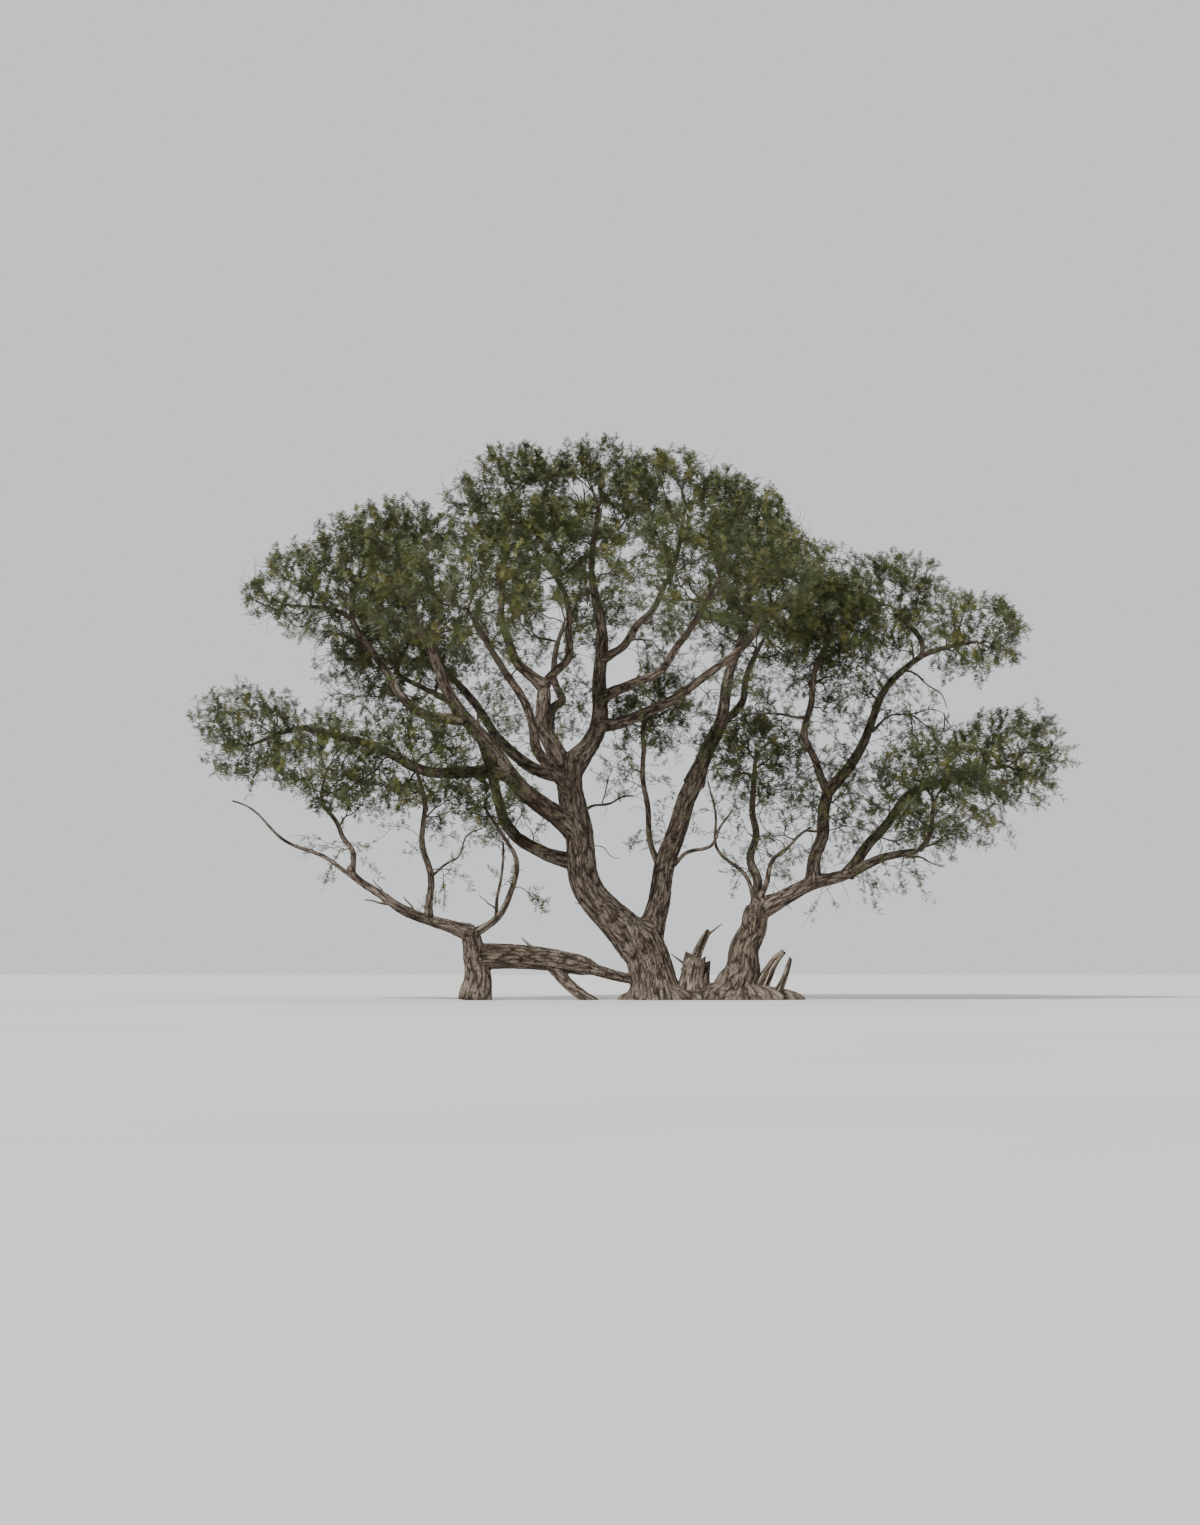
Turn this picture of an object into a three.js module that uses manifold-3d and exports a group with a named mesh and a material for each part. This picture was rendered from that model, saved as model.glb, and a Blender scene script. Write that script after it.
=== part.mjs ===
// A giraffe thorn acacia of the dry savanna: a leaning trunk with a broad, open, many-bossed crown.
// A second stem and a broken stump rise from the same root crown on the right. On the left a fallen limb
// lies on the ground and has sent up a low stem of its own.
// Millimetres, z up. The ground is z = 0, and the origin is the middle of the cut under the trunk.
// The crown's widest side faces -y, with +x to its right.

import * as THREE from "three";
import { mergeVertices } from "three/addons/utils/BufferGeometryUtils.js";
import Module from "manifold-3d";

const wasm = await Module();
wasm.setup();

// Driving dimensions
const TRUNK = { girth: [800, 640], fork: [-270, 0, 1050], leave: [0, 0, 1], arrive: [-0.45, 0, 1] };
const FLARE = { reach: 230, height: 420, lobes: 5, depth: 0.35 }; // the swelling of the trunk's foot
const ROOT_CROWN = { centre: [900, 20, 0], reach: [1500, 430, 270] }; // low swelling that joins the stems
const CLEARANCE = 0.3; // gap left where one piece meets the one that it grows from
const SIBLING_SPACE = 8; // gap between two pieces that grow from the same one
const LIMB_SPACE = 25; // least distance between foliage and the limbs it grows past
const MASS_SPACE = 15; // least distance from a mass to the plane that parts it from the next
const BLADE_SPACE = 10; // least distance from one blade to the next
const TIDY = { fused: 1.5, cut: 0.03 }; // how far a face may move when slivers are tidied away
const SLIVER = 0.12; // a sprig whose join would leave a face narrower than this is skipped

// How a limb is drawn: how far its ends hold their directions, how soon it thins, and how often it wavers
const LIMB_SHAPE = { hold: 0.38, thinning: 0.8, waves: [7, 11] };

// A mass's stem: how deep its foot starts in the limb, how it turns, how far below the middle it ends,
// its girth at its foot as a share of the limb's and at its end, its sides, and where its twigs fork off
const STEM = { sunk: 0.4, leave: 0.35, arrive: 0.3, drop: 0.15, share: 0.97, girth: 90, sides: 4, ring: 380,
  forks: [0.4, 0.55, 0.7, 0.85, 1] };

// A twig is thinner than the wood that it springs from, tapers, is never thinner than the least, and forks
const TWIG = { foot: 0.62, taper: 0.75, least: 26, fork: 0.55 };

// A blade stands for a spray of feathery leaves. Its sizes run from the smallest to the largest.
const LEAF = { length: 900, width: 620, thick: 26, widest: 0.45, sizes: [0.85, 1.15] };

// How a blade finds its place: places tried for each one, ways round and depths tried at each place, how
// loosely it points outwards, and what a longer path or a fork that is in use already costs its twig
const SEARCH = { tries: 6, turns: 4, depth: 0.8, deeper: 0.35, loose: 1.5, path: 0.35, used: 260 };
const EVEN_STEPS = [0.7548776662, 0.569840291]; // steps that never fall into a pattern

// Each limb springs from a point part of the way along an earlier one, leaves it in one direction and
// arrives at its tip in another. Girths are diameters at its foot and at its tip.
const LIMBS = {
  leader: { from: "trunk", at: 0.8, tip: [-1370, 60, 3800], leave: [-1, 0, 0.75], arrive: [0, 0, 1],
    girth: [560, 400], crook: 0.02 },
  centre_stem: { from: "trunk", at: 0.75, tip: [670, 220, 3520], leave: [0.3, 0.1, 1],
    arrive: [0.5, 0.05, 0.9], girth: [380, 290], crook: 0.02 },
  right_stem: { from: "root_crown", foot: [1250, 120, 90], tip: [1640, 120, 1560], leave: [0.3, 0, 1],
    arrive: [0.15, 0, 1], girth: [560, 380], crook: 0.03 },
  low_stem: { from: "ground", foot: [-2860, -260, 0], tip: [-2950, -300, 1120], leave: [0.1, 0, 1],
    arrive: [-0.25, 0, 1], girth: [420, 300], crook: 0.02 },

  left_bough: { from: "leader", at: 0.66, tip: [-3830, -700, 6000], leave: [-0.85, -0.25, 0.6],
    arrive: [-0.45, -0.1, 0.9], girth: [350, 140], crook: 0.03 },
  curl_bough: { from: "leader", at: 0.52, tip: [-2900, 760, 4480], leave: [-1, 0.35, 0.0],
    arrive: [-0.2, 0.15, 1], girth: [250, 110], crook: 0.03 },
  left_fork: { from: "leader", at: 0.97, tip: [-1770, -120, 5050], leave: [-0.9, -0.15, 0.7],
    arrive: [0.1, 0, 1], girth: [320, 215], crook: 0.02 },
  top_leader: { from: "leader", at: 0.97, tip: [-1020, 240, 7000], leave: [0.75, 0.1, 0.8],
    arrive: [-0.1, 0.05, 1], girth: [360, 110], crook: 0.02 },
  left_back_bough: { from: "leader", at: 0.93, tip: [-3350, 1850, 5350], leave: [-0.75, 0.7, 0.15],
    arrive: [-0.6, 0.4, 0.8], girth: [230, 110], crook: 0.03 },
  left_fork_rise: { from: "left_fork", at: 0.97, tip: [-2450, 120, 6640], leave: [-0.9, 0.1, 0.6],
    arrive: [0.1, 0, 1], girth: [190, 90], crook: 0.03 },
  left_fork_lean: { from: "left_fork", at: 0.97, tip: [-1420, -1250, 6350], leave: [0.6, -0.35, 0.7],
    arrive: [-0.2, -0.4, 0.8], girth: [150, 80], crook: 0.04 },
  left_reach: { from: "left_bough", at: 0.6, tip: [-4870, -60, 6120], leave: [-1, 0.3, -0.05],
    arrive: [-0.4, 0, 0.9], girth: [190, 90], crook: 0.03 },
  low_left_bough: { from: "left_bough", at: 0.34, tip: [-5600, -330, 4330], leave: [-1, -0.25, -0.05],
    arrive: [-0.9, 0.05, 0.25], girth: [220, 95], crook: 0.025 },
  cross_bough: { from: "top_leader", at: 0.25, tip: [1400, -950, 5560], leave: [0.9, -0.45, -0.05],
    arrive: [0.85, -0.1, 0.55], girth: [200, 105], crook: 0.02 },
  upper_right_limb: { from: "top_leader", at: 0.55, tip: [250, -480, 6760], leave: [0.85, -0.35, 0.5],
    arrive: [0.5, -0.1, 0.9], girth: [150, 80], crook: 0.03 },
  front_left_bough: { from: "leader", at: 0.84, tip: [-2350, -2300, 5050], leave: [-0.35, -0.85, 0.4],
    arrive: [-0.45, -0.6, 0.75], girth: [230, 105], crook: 0.03 },
  front_right_bough: { from: "top_leader", at: 0.36, tip: [450, -2350, 5600], leave: [0.5, -0.8, 0.35],
    arrive: [0.5, -0.55, 0.75], girth: [190, 100], crook: 0.03 },
  back_left_bough: { from: "left_fork", at: 0.45, tip: [-1650, 2300, 5700], leave: [0.1, 0.9, 0.4],
    arrive: [-0.1, 0.55, 0.8], girth: [200, 100], crook: 0.03 },

  centre_rise: { from: "centre_stem", at: 0.97, tip: [1530, 620, 6480], leave: [0.4, 0.1, 0.9],
    arrive: [0.2, 0.15, 1], girth: [280, 105], crook: 0.02 },
  slim_upright: { from: "centre_stem", at: 0.45, tip: [-200, 380, 4300], leave: [-0.5, 0.35, 0.9],
    arrive: [-0.15, 0, 1], girth: [105, 70], crook: 0.02 },
  back_right_bough: { from: "centre_rise", at: 0.3, tip: [1600, 2350, 5450], leave: [0.1, 0.9, 0.35],
    arrive: [0.1, 0.6, 0.8], girth: [180, 100], crook: 0.03 },

  right_inner_bough: { from: "right_stem", at: 0.9, tip: [1580, 430, 3050], leave: [0.1, 0.25, 1],
    arrive: [0, 0.05, 1], girth: [170, 100], crook: 0.04 },
  right_bough: { from: "right_stem", at: 0.92, tip: [4240, -260, 2380], leave: [0.9, -0.15, 0.38],
    arrive: [0.95, 0, 0.2], girth: [310, 100], crook: 0.02 },
  right_upright: { from: "right_bough", at: 0.36, tip: [2790, 90, 3420], leave: [0.05, 0.25, 1],
    arrive: [0.1, 0, 1], girth: [220, 190], crook: 0.02 },
  right_outer_bough: { from: "right_bough", at: 0.56, tip: [4950, 330, 3640], leave: [0.55, 0.35, 0.75],
    arrive: [0.9, 0.1, 0.25], girth: [190, 95], crook: 0.03 },
  right_inner_rise: { from: "right_upright", at: 0.96, tip: [2500, -420, 5100], leave: [-0.6, -0.15, 0.8],
    arrive: [0.1, -0.1, 1], girth: [140, 90], crook: 0.03 },
  right_sweep: { from: "right_upright", at: 0.96, tip: [4350, 260, 5560], leave: [0.75, 0.1, 0.7],
    arrive: [0.8, 0.1, 0.5], girth: [185, 90], crook: 0.02 },

  low_bough: { from: "low_stem", at: 0.94, tip: [-4850, -620, 2120], leave: [-0.9, -0.25, 0.45],
    arrive: [-0.45, 0, 0.9], girth: [230, 105], crook: 0.04 },
  low_upright: { from: "low_bough", at: 0.3, tip: [-3640, -620, 3060], leave: [0.05, -0.1, 1],
    arrive: [0.1, 0, 1], girth: [135, 80], crook: 0.03 },
  low_rise: { from: "low_bough", at: 0.95, tip: [-5300, -420, 3120], leave: [0.1, 0.15, 1],
    arrive: [-0.6, 0, 0.8], girth: [95, 60], crook: 0.03 },
  dead_limb: { from: "low_bough", at: 0.88, tip: [-6720, -560, 3150], leave: [-1, 0.05, 0.4],
    arrive: [-0.8, 0, 0.3], girth: [84, 26], crook: 0.05 },
  low_crook: { from: "low_stem", at: 0.93, tip: [-2300, -520, 2420], leave: [0.9, -0.2, 0.35],
    arrive: [-0.6, 0, 0.9], girth: [130, 65], crook: 0.02 },
};

// The fallen limb is held to the trunk's foot by a strand of wood, props itself on one leg and meets the
// low stem.
const FALLEN = {
  strand: { start: [-380, -40, 330], end: [-1000, -130, 500], girth: [150, 190] },
  log: { start: [-900, -120, 480], end: [-2720, -250, 690], lift: 140, girth: [290, 410] },
  leg: { start: [-1620, -190, 520], end: [-930, -230, -60], sag: [-60, 0, -90], girth: [210, 170] },
  snag: { start: [-1900, -200, 780], end: [-2130, -190, 985], girth: [70, 24] },
};

// The broken stump and the splinters beside it, all dead wood on the root crown
const SNAGS = {
  stump: { foot: [570, -60, -40], tip: [680, -70, 680], girth: [560, 400] },
  stump_spike: { foot: [520, -40, 420], tip: [850, -60, 1120], girth: [260, 90] },
  stump_point: { foot: [800, -50, 1000], tip: [1070, -60, 1215], girth: [56, 14] },
  stump_barb: { foot: [600, -80, 470], tip: [250, -100, 735], girth: [80, 16] },
  splinter_back: { foot: [1640, 60, 40], tip: [2070, 80, 780], girth: [320, 100], sag: [-50, 0, 140] },
  splinter_front: { foot: [1900, -150, 40], tip: [2160, -170, 690], girth: [160, 50], sag: [40, 0, -20] },
};

// Each mass of foliage is a rounded space with a middle and a reach along x, y and z, fed by a stem from
// a limb's tip. It has about as many blades as it says, and a dense one has a core.
const MASSES = {
  top_left_mass: { from: "left_fork_rise", middle: [-2350, -450, 8050], reach: [1350, 1500, 1060],
    blades: 17 },
  top_centre_mass: { from: "top_leader", middle: [-900, 850, 8200], reach: [1300, 1500, 1020], blades: 17 },
  top_right_mass: { from: "upper_right_limb", middle: [480, -650, 8000], reach: [1300, 1500, 1080],
    blades: 17 },
  shoulder_right_mass: { from: "centre_rise", middle: [1700, 850, 7600], reach: [1150, 1500, 1000],
    blades: 15 },
  upper_left_mass: { from: "left_bough", middle: [-3950, -1250, 7050], reach: [1250, 1350, 1000],
    blades: 14 },
  left_shoulder_mass: { from: "left_reach", middle: [-4800, 750, 7050], reach: [1250, 1400, 1000],
    blades: 15 },
  left_tip_mass: { from: "left_reach", middle: [-5850, -520, 6420], reach: [1150, 1300, 950], blades: 13 },
  left_back_mass: { from: "left_back_bough", middle: [-4100, 2700, 6250], reach: [1500, 1500, 1050],
    blades: 15 },
  left_hollow_mass: { from: "curl_bough", middle: [-4150, 750, 5400], reach: [1350, 1250, 900], blades: 13 },
  low_left_tip_mass: { from: "low_left_bough", middle: [-6450, -330, 4200], reach: [1100, 1250, 1000],
    blades: 14 },
  low_left_mass: { from: "low_rise", middle: [-5200, -700, 3750], reach: [1050, 1350, 950], blades: 13 },
  low_upright_mass: { from: "low_upright", middle: [-3800, -800, 3850], reach: [1100, 1250, 950],
    blades: 13 },
  low_crook_mass: { from: "low_crook", middle: [-2700, -620, 3150], reach: [800, 950, 800], blades: 8 },
  inner_left_mass: { from: "left_fork_lean", middle: [-1800, -2050, 6950], reach: [1350, 1300, 1050],
    blades: 15 },
  centre_hang_mass: { from: "slim_upright", middle: [-50, 650, 4750], reach: [850, 950, 800], blades: 8 },
  right_centre_mass: { from: "cross_bough", middle: [1800, -1350, 6350], reach: [1250, 1250, 950],
    blades: 14 },
  dense_right_mass: { from: "right_inner_rise", middle: [2850, -350, 6000], reach: [1000, 1200, 900],
    blades: 10, core: 0.52 },
  right_upper_mass: { from: "right_sweep", middle: [3900, 850, 6550], reach: [1300, 1450, 930], blades: 14 },
  right_outer_mass: { from: "right_sweep", middle: [5150, -300, 5850], reach: [1050, 1250, 900], blades: 14 },
  right_low_outer_mass: { from: "right_outer_bough", middle: [5700, 350, 3900], reach: [1150, 1300, 950],
    blades: 15 },
  right_low_mass: { from: "right_bough", middle: [4400, -650, 3300], reach: [1200, 1300, 1150], blades: 17 },
  right_inner_mass: { from: "right_inner_bough", middle: [1640, 600, 4000], reach: [1050, 1150, 900],
    blades: 10 },
  front_left_mass: { from: "front_left_bough", middle: [-2850, -3450, 6000], reach: [1850, 1600, 1100],
    blades: 17 },
  front_right_mass: { from: "front_right_bough", middle: [900, -3400, 6500], reach: [1900, 1600, 1150],
    blades: 17 },
  back_left_mass: { from: "back_left_bough", middle: [-1500, 3350, 6600], reach: [1850, 1700, 1150],
    blades: 15 },
  back_right_mass: { from: "back_right_bough", middle: [1950, 3350, 6350], reach: [1900, 1700, 1150],
    blades: 15 },
};

const FINISH = {
  bark: { color: 0x4a3b2e, roughness: 0.95, metalness: 0 },
  foliage: { color: 0x4c5a2c, roughness: 0.8, metalness: 0 },
};

const SPRIG_ANGLES = [0, 1, 2].map((corner) => (corner * Math.PI * 2) / 3 + Math.PI / 2);

// A repeatable stream of numbers from 0 to 1
function seeded(seed) {
  let state = seed >>> 0;
  return () => {
    state = (state + 0x6d2b79f5) >>> 0;
    let mixed = Math.imul(state ^ (state >>> 15), state | 1);
    mixed ^= mixed + Math.imul(mixed ^ (mixed >>> 7), mixed | 61);
    return ((mixed ^ (mixed >>> 14)) >>> 0) / 4294967296;
  };
}

const vector = (list) => new THREE.Vector3(...list);

// A closed three.js geometry as a solid
function solid(geometry) {
  const bare = geometry.clone();
  bare.deleteAttribute("normal");
  bare.deleteAttribute("uv");
  const merged = mergeVertices(bare, 1e-3);
  return new wasm.Manifold(
    new wasm.Mesh({
      numProp: 3,
      vertProperties: new Float32Array(merged.attributes.position.array),
      triVerts: new Uint32Array(merged.index.array),
    }),
  );
}

// The largest body of a solid, without the slivers and scraps that a cut leaves
function largest(shape) {
  return shape.asOriginal().simplify(TIDY.cut).decompose().sort((a, b) => b.volume() - a.volume())[0];
}

// A fused solid without the slivers along its seams
const tidied = (shape) => shape.asOriginal().simplify(TIDY.fused);

// The least height of a solid's triangles
function narrowest(shape) {
  const { vertProperties, triVerts, numProp } = shape.getMesh();
  const corner = (i) => new THREE.Vector3().fromArray(vertProperties, triVerts[i] * numProp);
  let least = Infinity;
  for (let i = 0; i < triVerts.length; i += 3) {
    const triangle = new THREE.Triangle(corner(i), corner(i + 1), corner(i + 2));
    const { a, b, c } = triangle;
    const longest = Math.max(a.distanceTo(b), b.distanceTo(c), c.distanceTo(a));
    least = Math.min(least, (2 * triangle.getArea()) / longest);
  }
  return least;
}

// A limb's middle line: it leaves one way, arrives another, and wavers on the way as old wood does
class LimbLine extends THREE.Curve {
  constructor({ start, end, leave, arrive, crook, random }) {
    super();
    const span = start.distanceTo(end);
    const hold = span * LIMB_SHAPE.hold;
    this.base = new THREE.CubicBezierCurve3(
      start,
      start.clone().addScaledVector(leave.clone().normalize(), hold),
      end.clone().addScaledVector(arrive.clone().normalize(), -hold),
      end,
    );
    const along = end.clone().sub(start).normalize();
    this.side = new THREE.Vector3(random() - 0.5, random() - 0.5, random() - 0.5).cross(along).normalize();
    this.other = along.clone().cross(this.side);
    this.sway = crook * span;
    this.phase = [random() * Math.PI * 2, random() * Math.PI * 2];
  }

  getPoint(t) {
    const fade = Math.sin(Math.PI * Math.min(1, Math.max(0, t))) * this.sway;
    const [slow, quick] = LIMB_SHAPE.waves;
    return this.base
      .getPoint(t)
      .addScaledVector(this.side, fade * Math.sin(slow * t + this.phase[0]))
      .addScaledVector(this.other, fade * Math.sin(quick * t + this.phase[1]));
  }
}

// A tapering round solid along a line: a cylinder whose rings are moved onto the line.
// swell makes it thicker and longer, to cut the room that a neighbour keeps clear.
function taperedSolid(line, girth, sides, steps, swell = 0, shape = () => 1) {
  const geometry = new THREE.CylinderGeometry(1, 1, 1, sides, steps);
  const { tangents, normals, binormals } = line.computeFrenetFrames(steps);
  const position = geometry.attributes.position;
  const ring = new THREE.Vector3();
  for (let i = 0; i < position.count; i++) {
    ring.fromBufferAttribute(position, i);
    const step = Math.round((ring.y + 0.5) * steps);
    const t = step / steps;
    const radius = THREE.MathUtils.lerp(girth[0], girth[1], t ** LIMB_SHAPE.thinning) / 2;
    const angle = Math.atan2(ring.z, ring.x);
    const reach = radius * shape(t, angle) + swell;
    const middle = line.getPointAt(t);
    if (step === steps) middle.addScaledVector(tangents[steps], swell);
    if (step === 0) middle.addScaledVector(tangents[0], -swell);
    middle.addScaledVector(normals[step], ring.x * reach).addScaledVector(binormals[step], -ring.z * reach);
    position.setXYZ(i, middle.x, middle.y, middle.z);
  }
  return solid(geometry);
}

const straight = (start, end, sag = [0, 0, 0]) =>
  new THREE.QuadraticBezierCurve3(
    vector(start),
    vector(start).add(vector(end)).multiplyScalar(0.5).add(vector(sag)),
    vector(end),
  );

// Everything below the ground, to cut the feet flat
const soil = solid(new THREE.BoxGeometry(30000, 30000, 2000).translate(0, 0, -1000));

const trunkLine = new LimbLine({
  start: vector([0, 0, -FLARE.height * 0.3]),
  end: vector(TRUNK.fork),
  leave: vector(TRUNK.leave),
  arrive: vector(TRUNK.arrive),
  crook: 0,
  random: seeded(1),
});

// The trunk swells into lobes towards its roots.
function flare(t, angle) {
  const low = Math.max(0, 1 - (t * TRUNK.fork[2]) / FLARE.height) ** 2;
  const lobed = 1 + FLARE.depth * Math.cos(FLARE.lobes * angle);
  return 1 + (low * FLARE.reach * lobed) / (TRUNK.girth[0] / 2);
}

function rootCrown(swell = 0) {
  const { centre, reach } = ROOT_CROWN;
  return solid(
    new THREE.SphereGeometry(1, 14, 6)
      .rotateX(Math.PI / 2)
      .scale(reach[0] + swell, reach[1] + swell, reach[2] + swell)
      .translate(...centre),
  );
}

function trunkSolid(swell = 0) {
  let whole = taperedSolid(trunkLine, TRUNK.girth, 15, 6, swell, flare).add(rootCrown(swell));
  for (const { foot, tip, sag, girth } of Object.values(SNAGS))
    whole = whole.add(taperedSolid(straight(foot, tip, sag), girth, 6, sag ? 3 : 1, swell));
  return whole.subtract(soil);
}

function fallenSolid(swell = 0) {
  const { strand, log, leg, snag } = FALLEN;
  const parts = [
    taperedSolid(straight(log.start, log.end, [0, 0, log.lift]), log.girth, 8, 5, swell),
    taperedSolid(straight(strand.start, strand.end, [0, 0, -30]), strand.girth, 6, 2, swell),
    taperedSolid(straight(leg.start, leg.end, leg.sag), leg.girth, 6, 4, swell),
    taperedSolid(straight(snag.start, snag.end), snag.girth, 6, 1, swell),
  ];
  return parts.reduce((whole, part) => whole.add(part)).subtract(soil);
}

// Sides and rings follow a limb's thickness and length.
const limbSides = (girth) => (girth > 300 ? 8 : girth > 160 ? 6 : 5);
const limbSteps = (line) => Math.max(4, Math.round(line.getLength() / 560));

const lines = { trunk: trunkLine };
const solids = { trunk: trunkSolid() };
const grown = { trunk: trunkSolid(CLEARANCE) };
const wide = {};

function addLimb(name, spec, seed) {
  const start = spec.foot ? vector(spec.foot) : lines[spec.from].getPointAt(spec.at);
  const line = new LimbLine({
    start,
    end: vector(spec.tip),
    leave: vector(spec.leave),
    arrive: vector(spec.arrive),
    crook: spec.crook,
    random: seeded(seed),
  });
  lines[name] = line;
  const sides = limbSides(spec.girth[0]);
  const steps = limbSteps(line);
  let shape = taperedSolid(line, spec.girth, sides, steps);
  for (const other of Object.keys(grown)) {
    if (other === parentOf(name)) shape = shape.subtract(grown[other]);
    else if (parentOf(other) === parentOf(name)) shape = shape.subtract(wide[other]);
  }
  if (spec.from === "ground") shape = shape.subtract(soil);
  solids[name] = largest(shape);
  grown[name] = taperedSolid(line, spec.girth, sides, steps, CLEARANCE);
  wide[name] = taperedSolid(line, spec.girth, sides, steps, SIBLING_SPACE);
}

const parentOf = (name) => {
  const from = LIMBS[name]?.from;
  return from === "root_crown" ? "trunk" : from;
};

Object.entries(LIMBS).forEach(([name, spec], index) => addLimb(name, spec, 100 + index));
solids.fallen_limb = largest(
  fallenSolid().subtract(grown.trunk).subtract(grown.low_stem),
);

// A point is on a mass's own side of the planes that part it from its neighbours.
function ownSide(name, point) {
  const { middle, reach } = MASSES[name];
  const from = point.clone().sub(vector(middle));
  for (const [other, { middle: away, reach: theirs }] of Object.entries(MASSES)) {
    if (other === name) continue;
    const apart = vector(away).sub(vector(middle));
    const gap = apart.length();
    const share = (mean(reach) / (mean(reach) + mean(theirs))) * gap;
    if (from.dot(apart) / gap > share - MASS_SPACE) return false;
  }
  return true;
}

// A point is inside a mass's own rounded space, and on its own side.
function insideMass(name, point) {
  const { middle, reach } = MASSES[name];
  const [x, y, z] = point.toArray().map((value, axis) => (value - middle[axis]) / reach[axis]);
  return x * x + y * y + z * z < 1 && ownSide(name, point);
}

const mean = (list) => (list[0] + list[1] + list[2]) / 3;

// Directions spread evenly over a ball, however many of them are used
function evenDirection(index, turn) {
  const z = 1 - 2 * ((0.5 + index * EVEN_STEPS[0]) % 1);
  const angle = (index * EVEN_STEPS[1] + turn) * Math.PI * 2;
  const radius = Math.sqrt(1 - z * z);
  return new THREE.Vector3(radius * Math.cos(angle), radius * Math.sin(angle), z);
}

// The stem of a mass goes on from its limb's tip and turns gently to the middle of its space.
function stemLine(name) {
  const { from, middle, reach } = MASSES[name];
  const limb = lines[from];
  const tip = limb.getPointAt(1);
  const end = vector(middle);
  end.z -= STEM.drop * reach[2];
  const span = tip.distanceTo(end);
  const ahead = limb.getTangentAt(1);
  const towards = end.clone().sub(tip).normalize();
  return new THREE.CubicBezierCurve3(
    tip.clone().addScaledVector(ahead, -STEM.sunk * LIMBS[from].girth[1]),
    tip.clone().addScaledVector(ahead.add(towards).normalize(), STEM.leave * span),
    end.clone().addScaledVector(towards, -STEM.arrive * span),
    end,
  );
}

const stems = {};
for (const [name, { from }] of Object.entries(MASSES)) {
  const line = stemLine(name);
  const girth = [LIMBS[from].girth[1] * STEM.share, STEM.girth];
  const steps = Math.max(3, Math.round(line.getLength() / STEM.ring));
  const rooms = [grown[from]];
  for (const earlier of Object.values(stems)) if (earlier.from === from) rooms.push(earlier.room);
  stems[name] = {
    from,
    line,
    rooms,
    shape: taperedSolid(line, girth, STEM.sides, steps),
    room: taperedSolid(line, girth, STEM.sides, steps, SIBLING_SPACE),
  };
}

function clearOfLimbs(piece, name) {
  for (const limb of Object.values(solids)) if (piece.minGap(limb, LIMB_SPACE) < LIMB_SPACE) return false;
  for (const [other, stem] of Object.entries(stems))
    if (other !== name && piece.minGap(stem.shape, LIMB_SPACE) < LIMB_SPACE) return false;
  return true;
}

// The corners of a sprig: a three-sided twig from its foot to the blade's root, then the blade, which
// widens to its middle and ends in a point
function sprigCorners(foot, girth, root, direction, roll, size) {
  const across = new THREE.Vector3(0, 0, 1).cross(direction).normalize().applyAxisAngle(direction, roll);
  const over = direction.clone().cross(across);
  const along = root.clone().sub(foot).normalize();
  const footAcross = across.clone().projectOnPlane(along).normalize();
  const footOver = along.clone().cross(footAcross);
  const widest = root.clone().addScaledVector(direction, LEAF.length * size * LEAF.widest);
  const ring = (middle, side, up, halfWidth, halfThick) =>
    SPRIG_ANGLES.map((angle) =>
      middle
        .clone()
        .addScaledVector(side, halfWidth * Math.cos(angle))
        .addScaledVector(up, halfThick * Math.sin(angle)),
    );
  return {
    foot: ring(foot, footAcross, footOver, girth / 2, girth / 2),
    root: ring(root, footAcross, footOver, (girth / 2) * TWIG.taper, (girth / 2) * TWIG.taper),
    widest: ring(widest, across, over, (LEAF.width / 2) * size, LEAF.thick * 0.67),
    tip: [root.clone().addScaledVector(direction, LEAF.length * size)],
  };
}

const middleOf = (points) =>
  points.reduce((sum, point) => sum.add(point), new THREE.Vector3()).divideScalar(points.length);

// A sprig as one closed solid: a three-sided cone whose rings are moved onto the corners
function sprigSolid({ foot, root, widest, tip }) {
  const rings = [foot, root, widest, tip];
  const steps = rings.length - 1;
  const geometry = new THREE.ConeGeometry(1, 1, foot.length, steps);
  const position = geometry.attributes.position;
  for (let i = 0; i < position.count; i++) {
    const step = Math.round((position.getY(i) + 0.5) * steps);
    const radius = Math.hypot(position.getX(i), position.getZ(i));
    const corners = rings[step];
    const side = (Math.atan2(position.getX(i), position.getZ(i)) / (Math.PI * 2)) * corners.length;
    const corner = corners[THREE.MathUtils.euclideanModulo(Math.round(side), corners.length)];
    const spot = radius < 1e-6 && step < steps ? middleOf(corners) : corner;
    position.setXYZ(i, spot.x, spot.y, spot.z);
  }
  return solid(geometry);
}

const hull = (points) => wasm.Manifold.hull(points.map((point) => point.toArray()));

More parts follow.
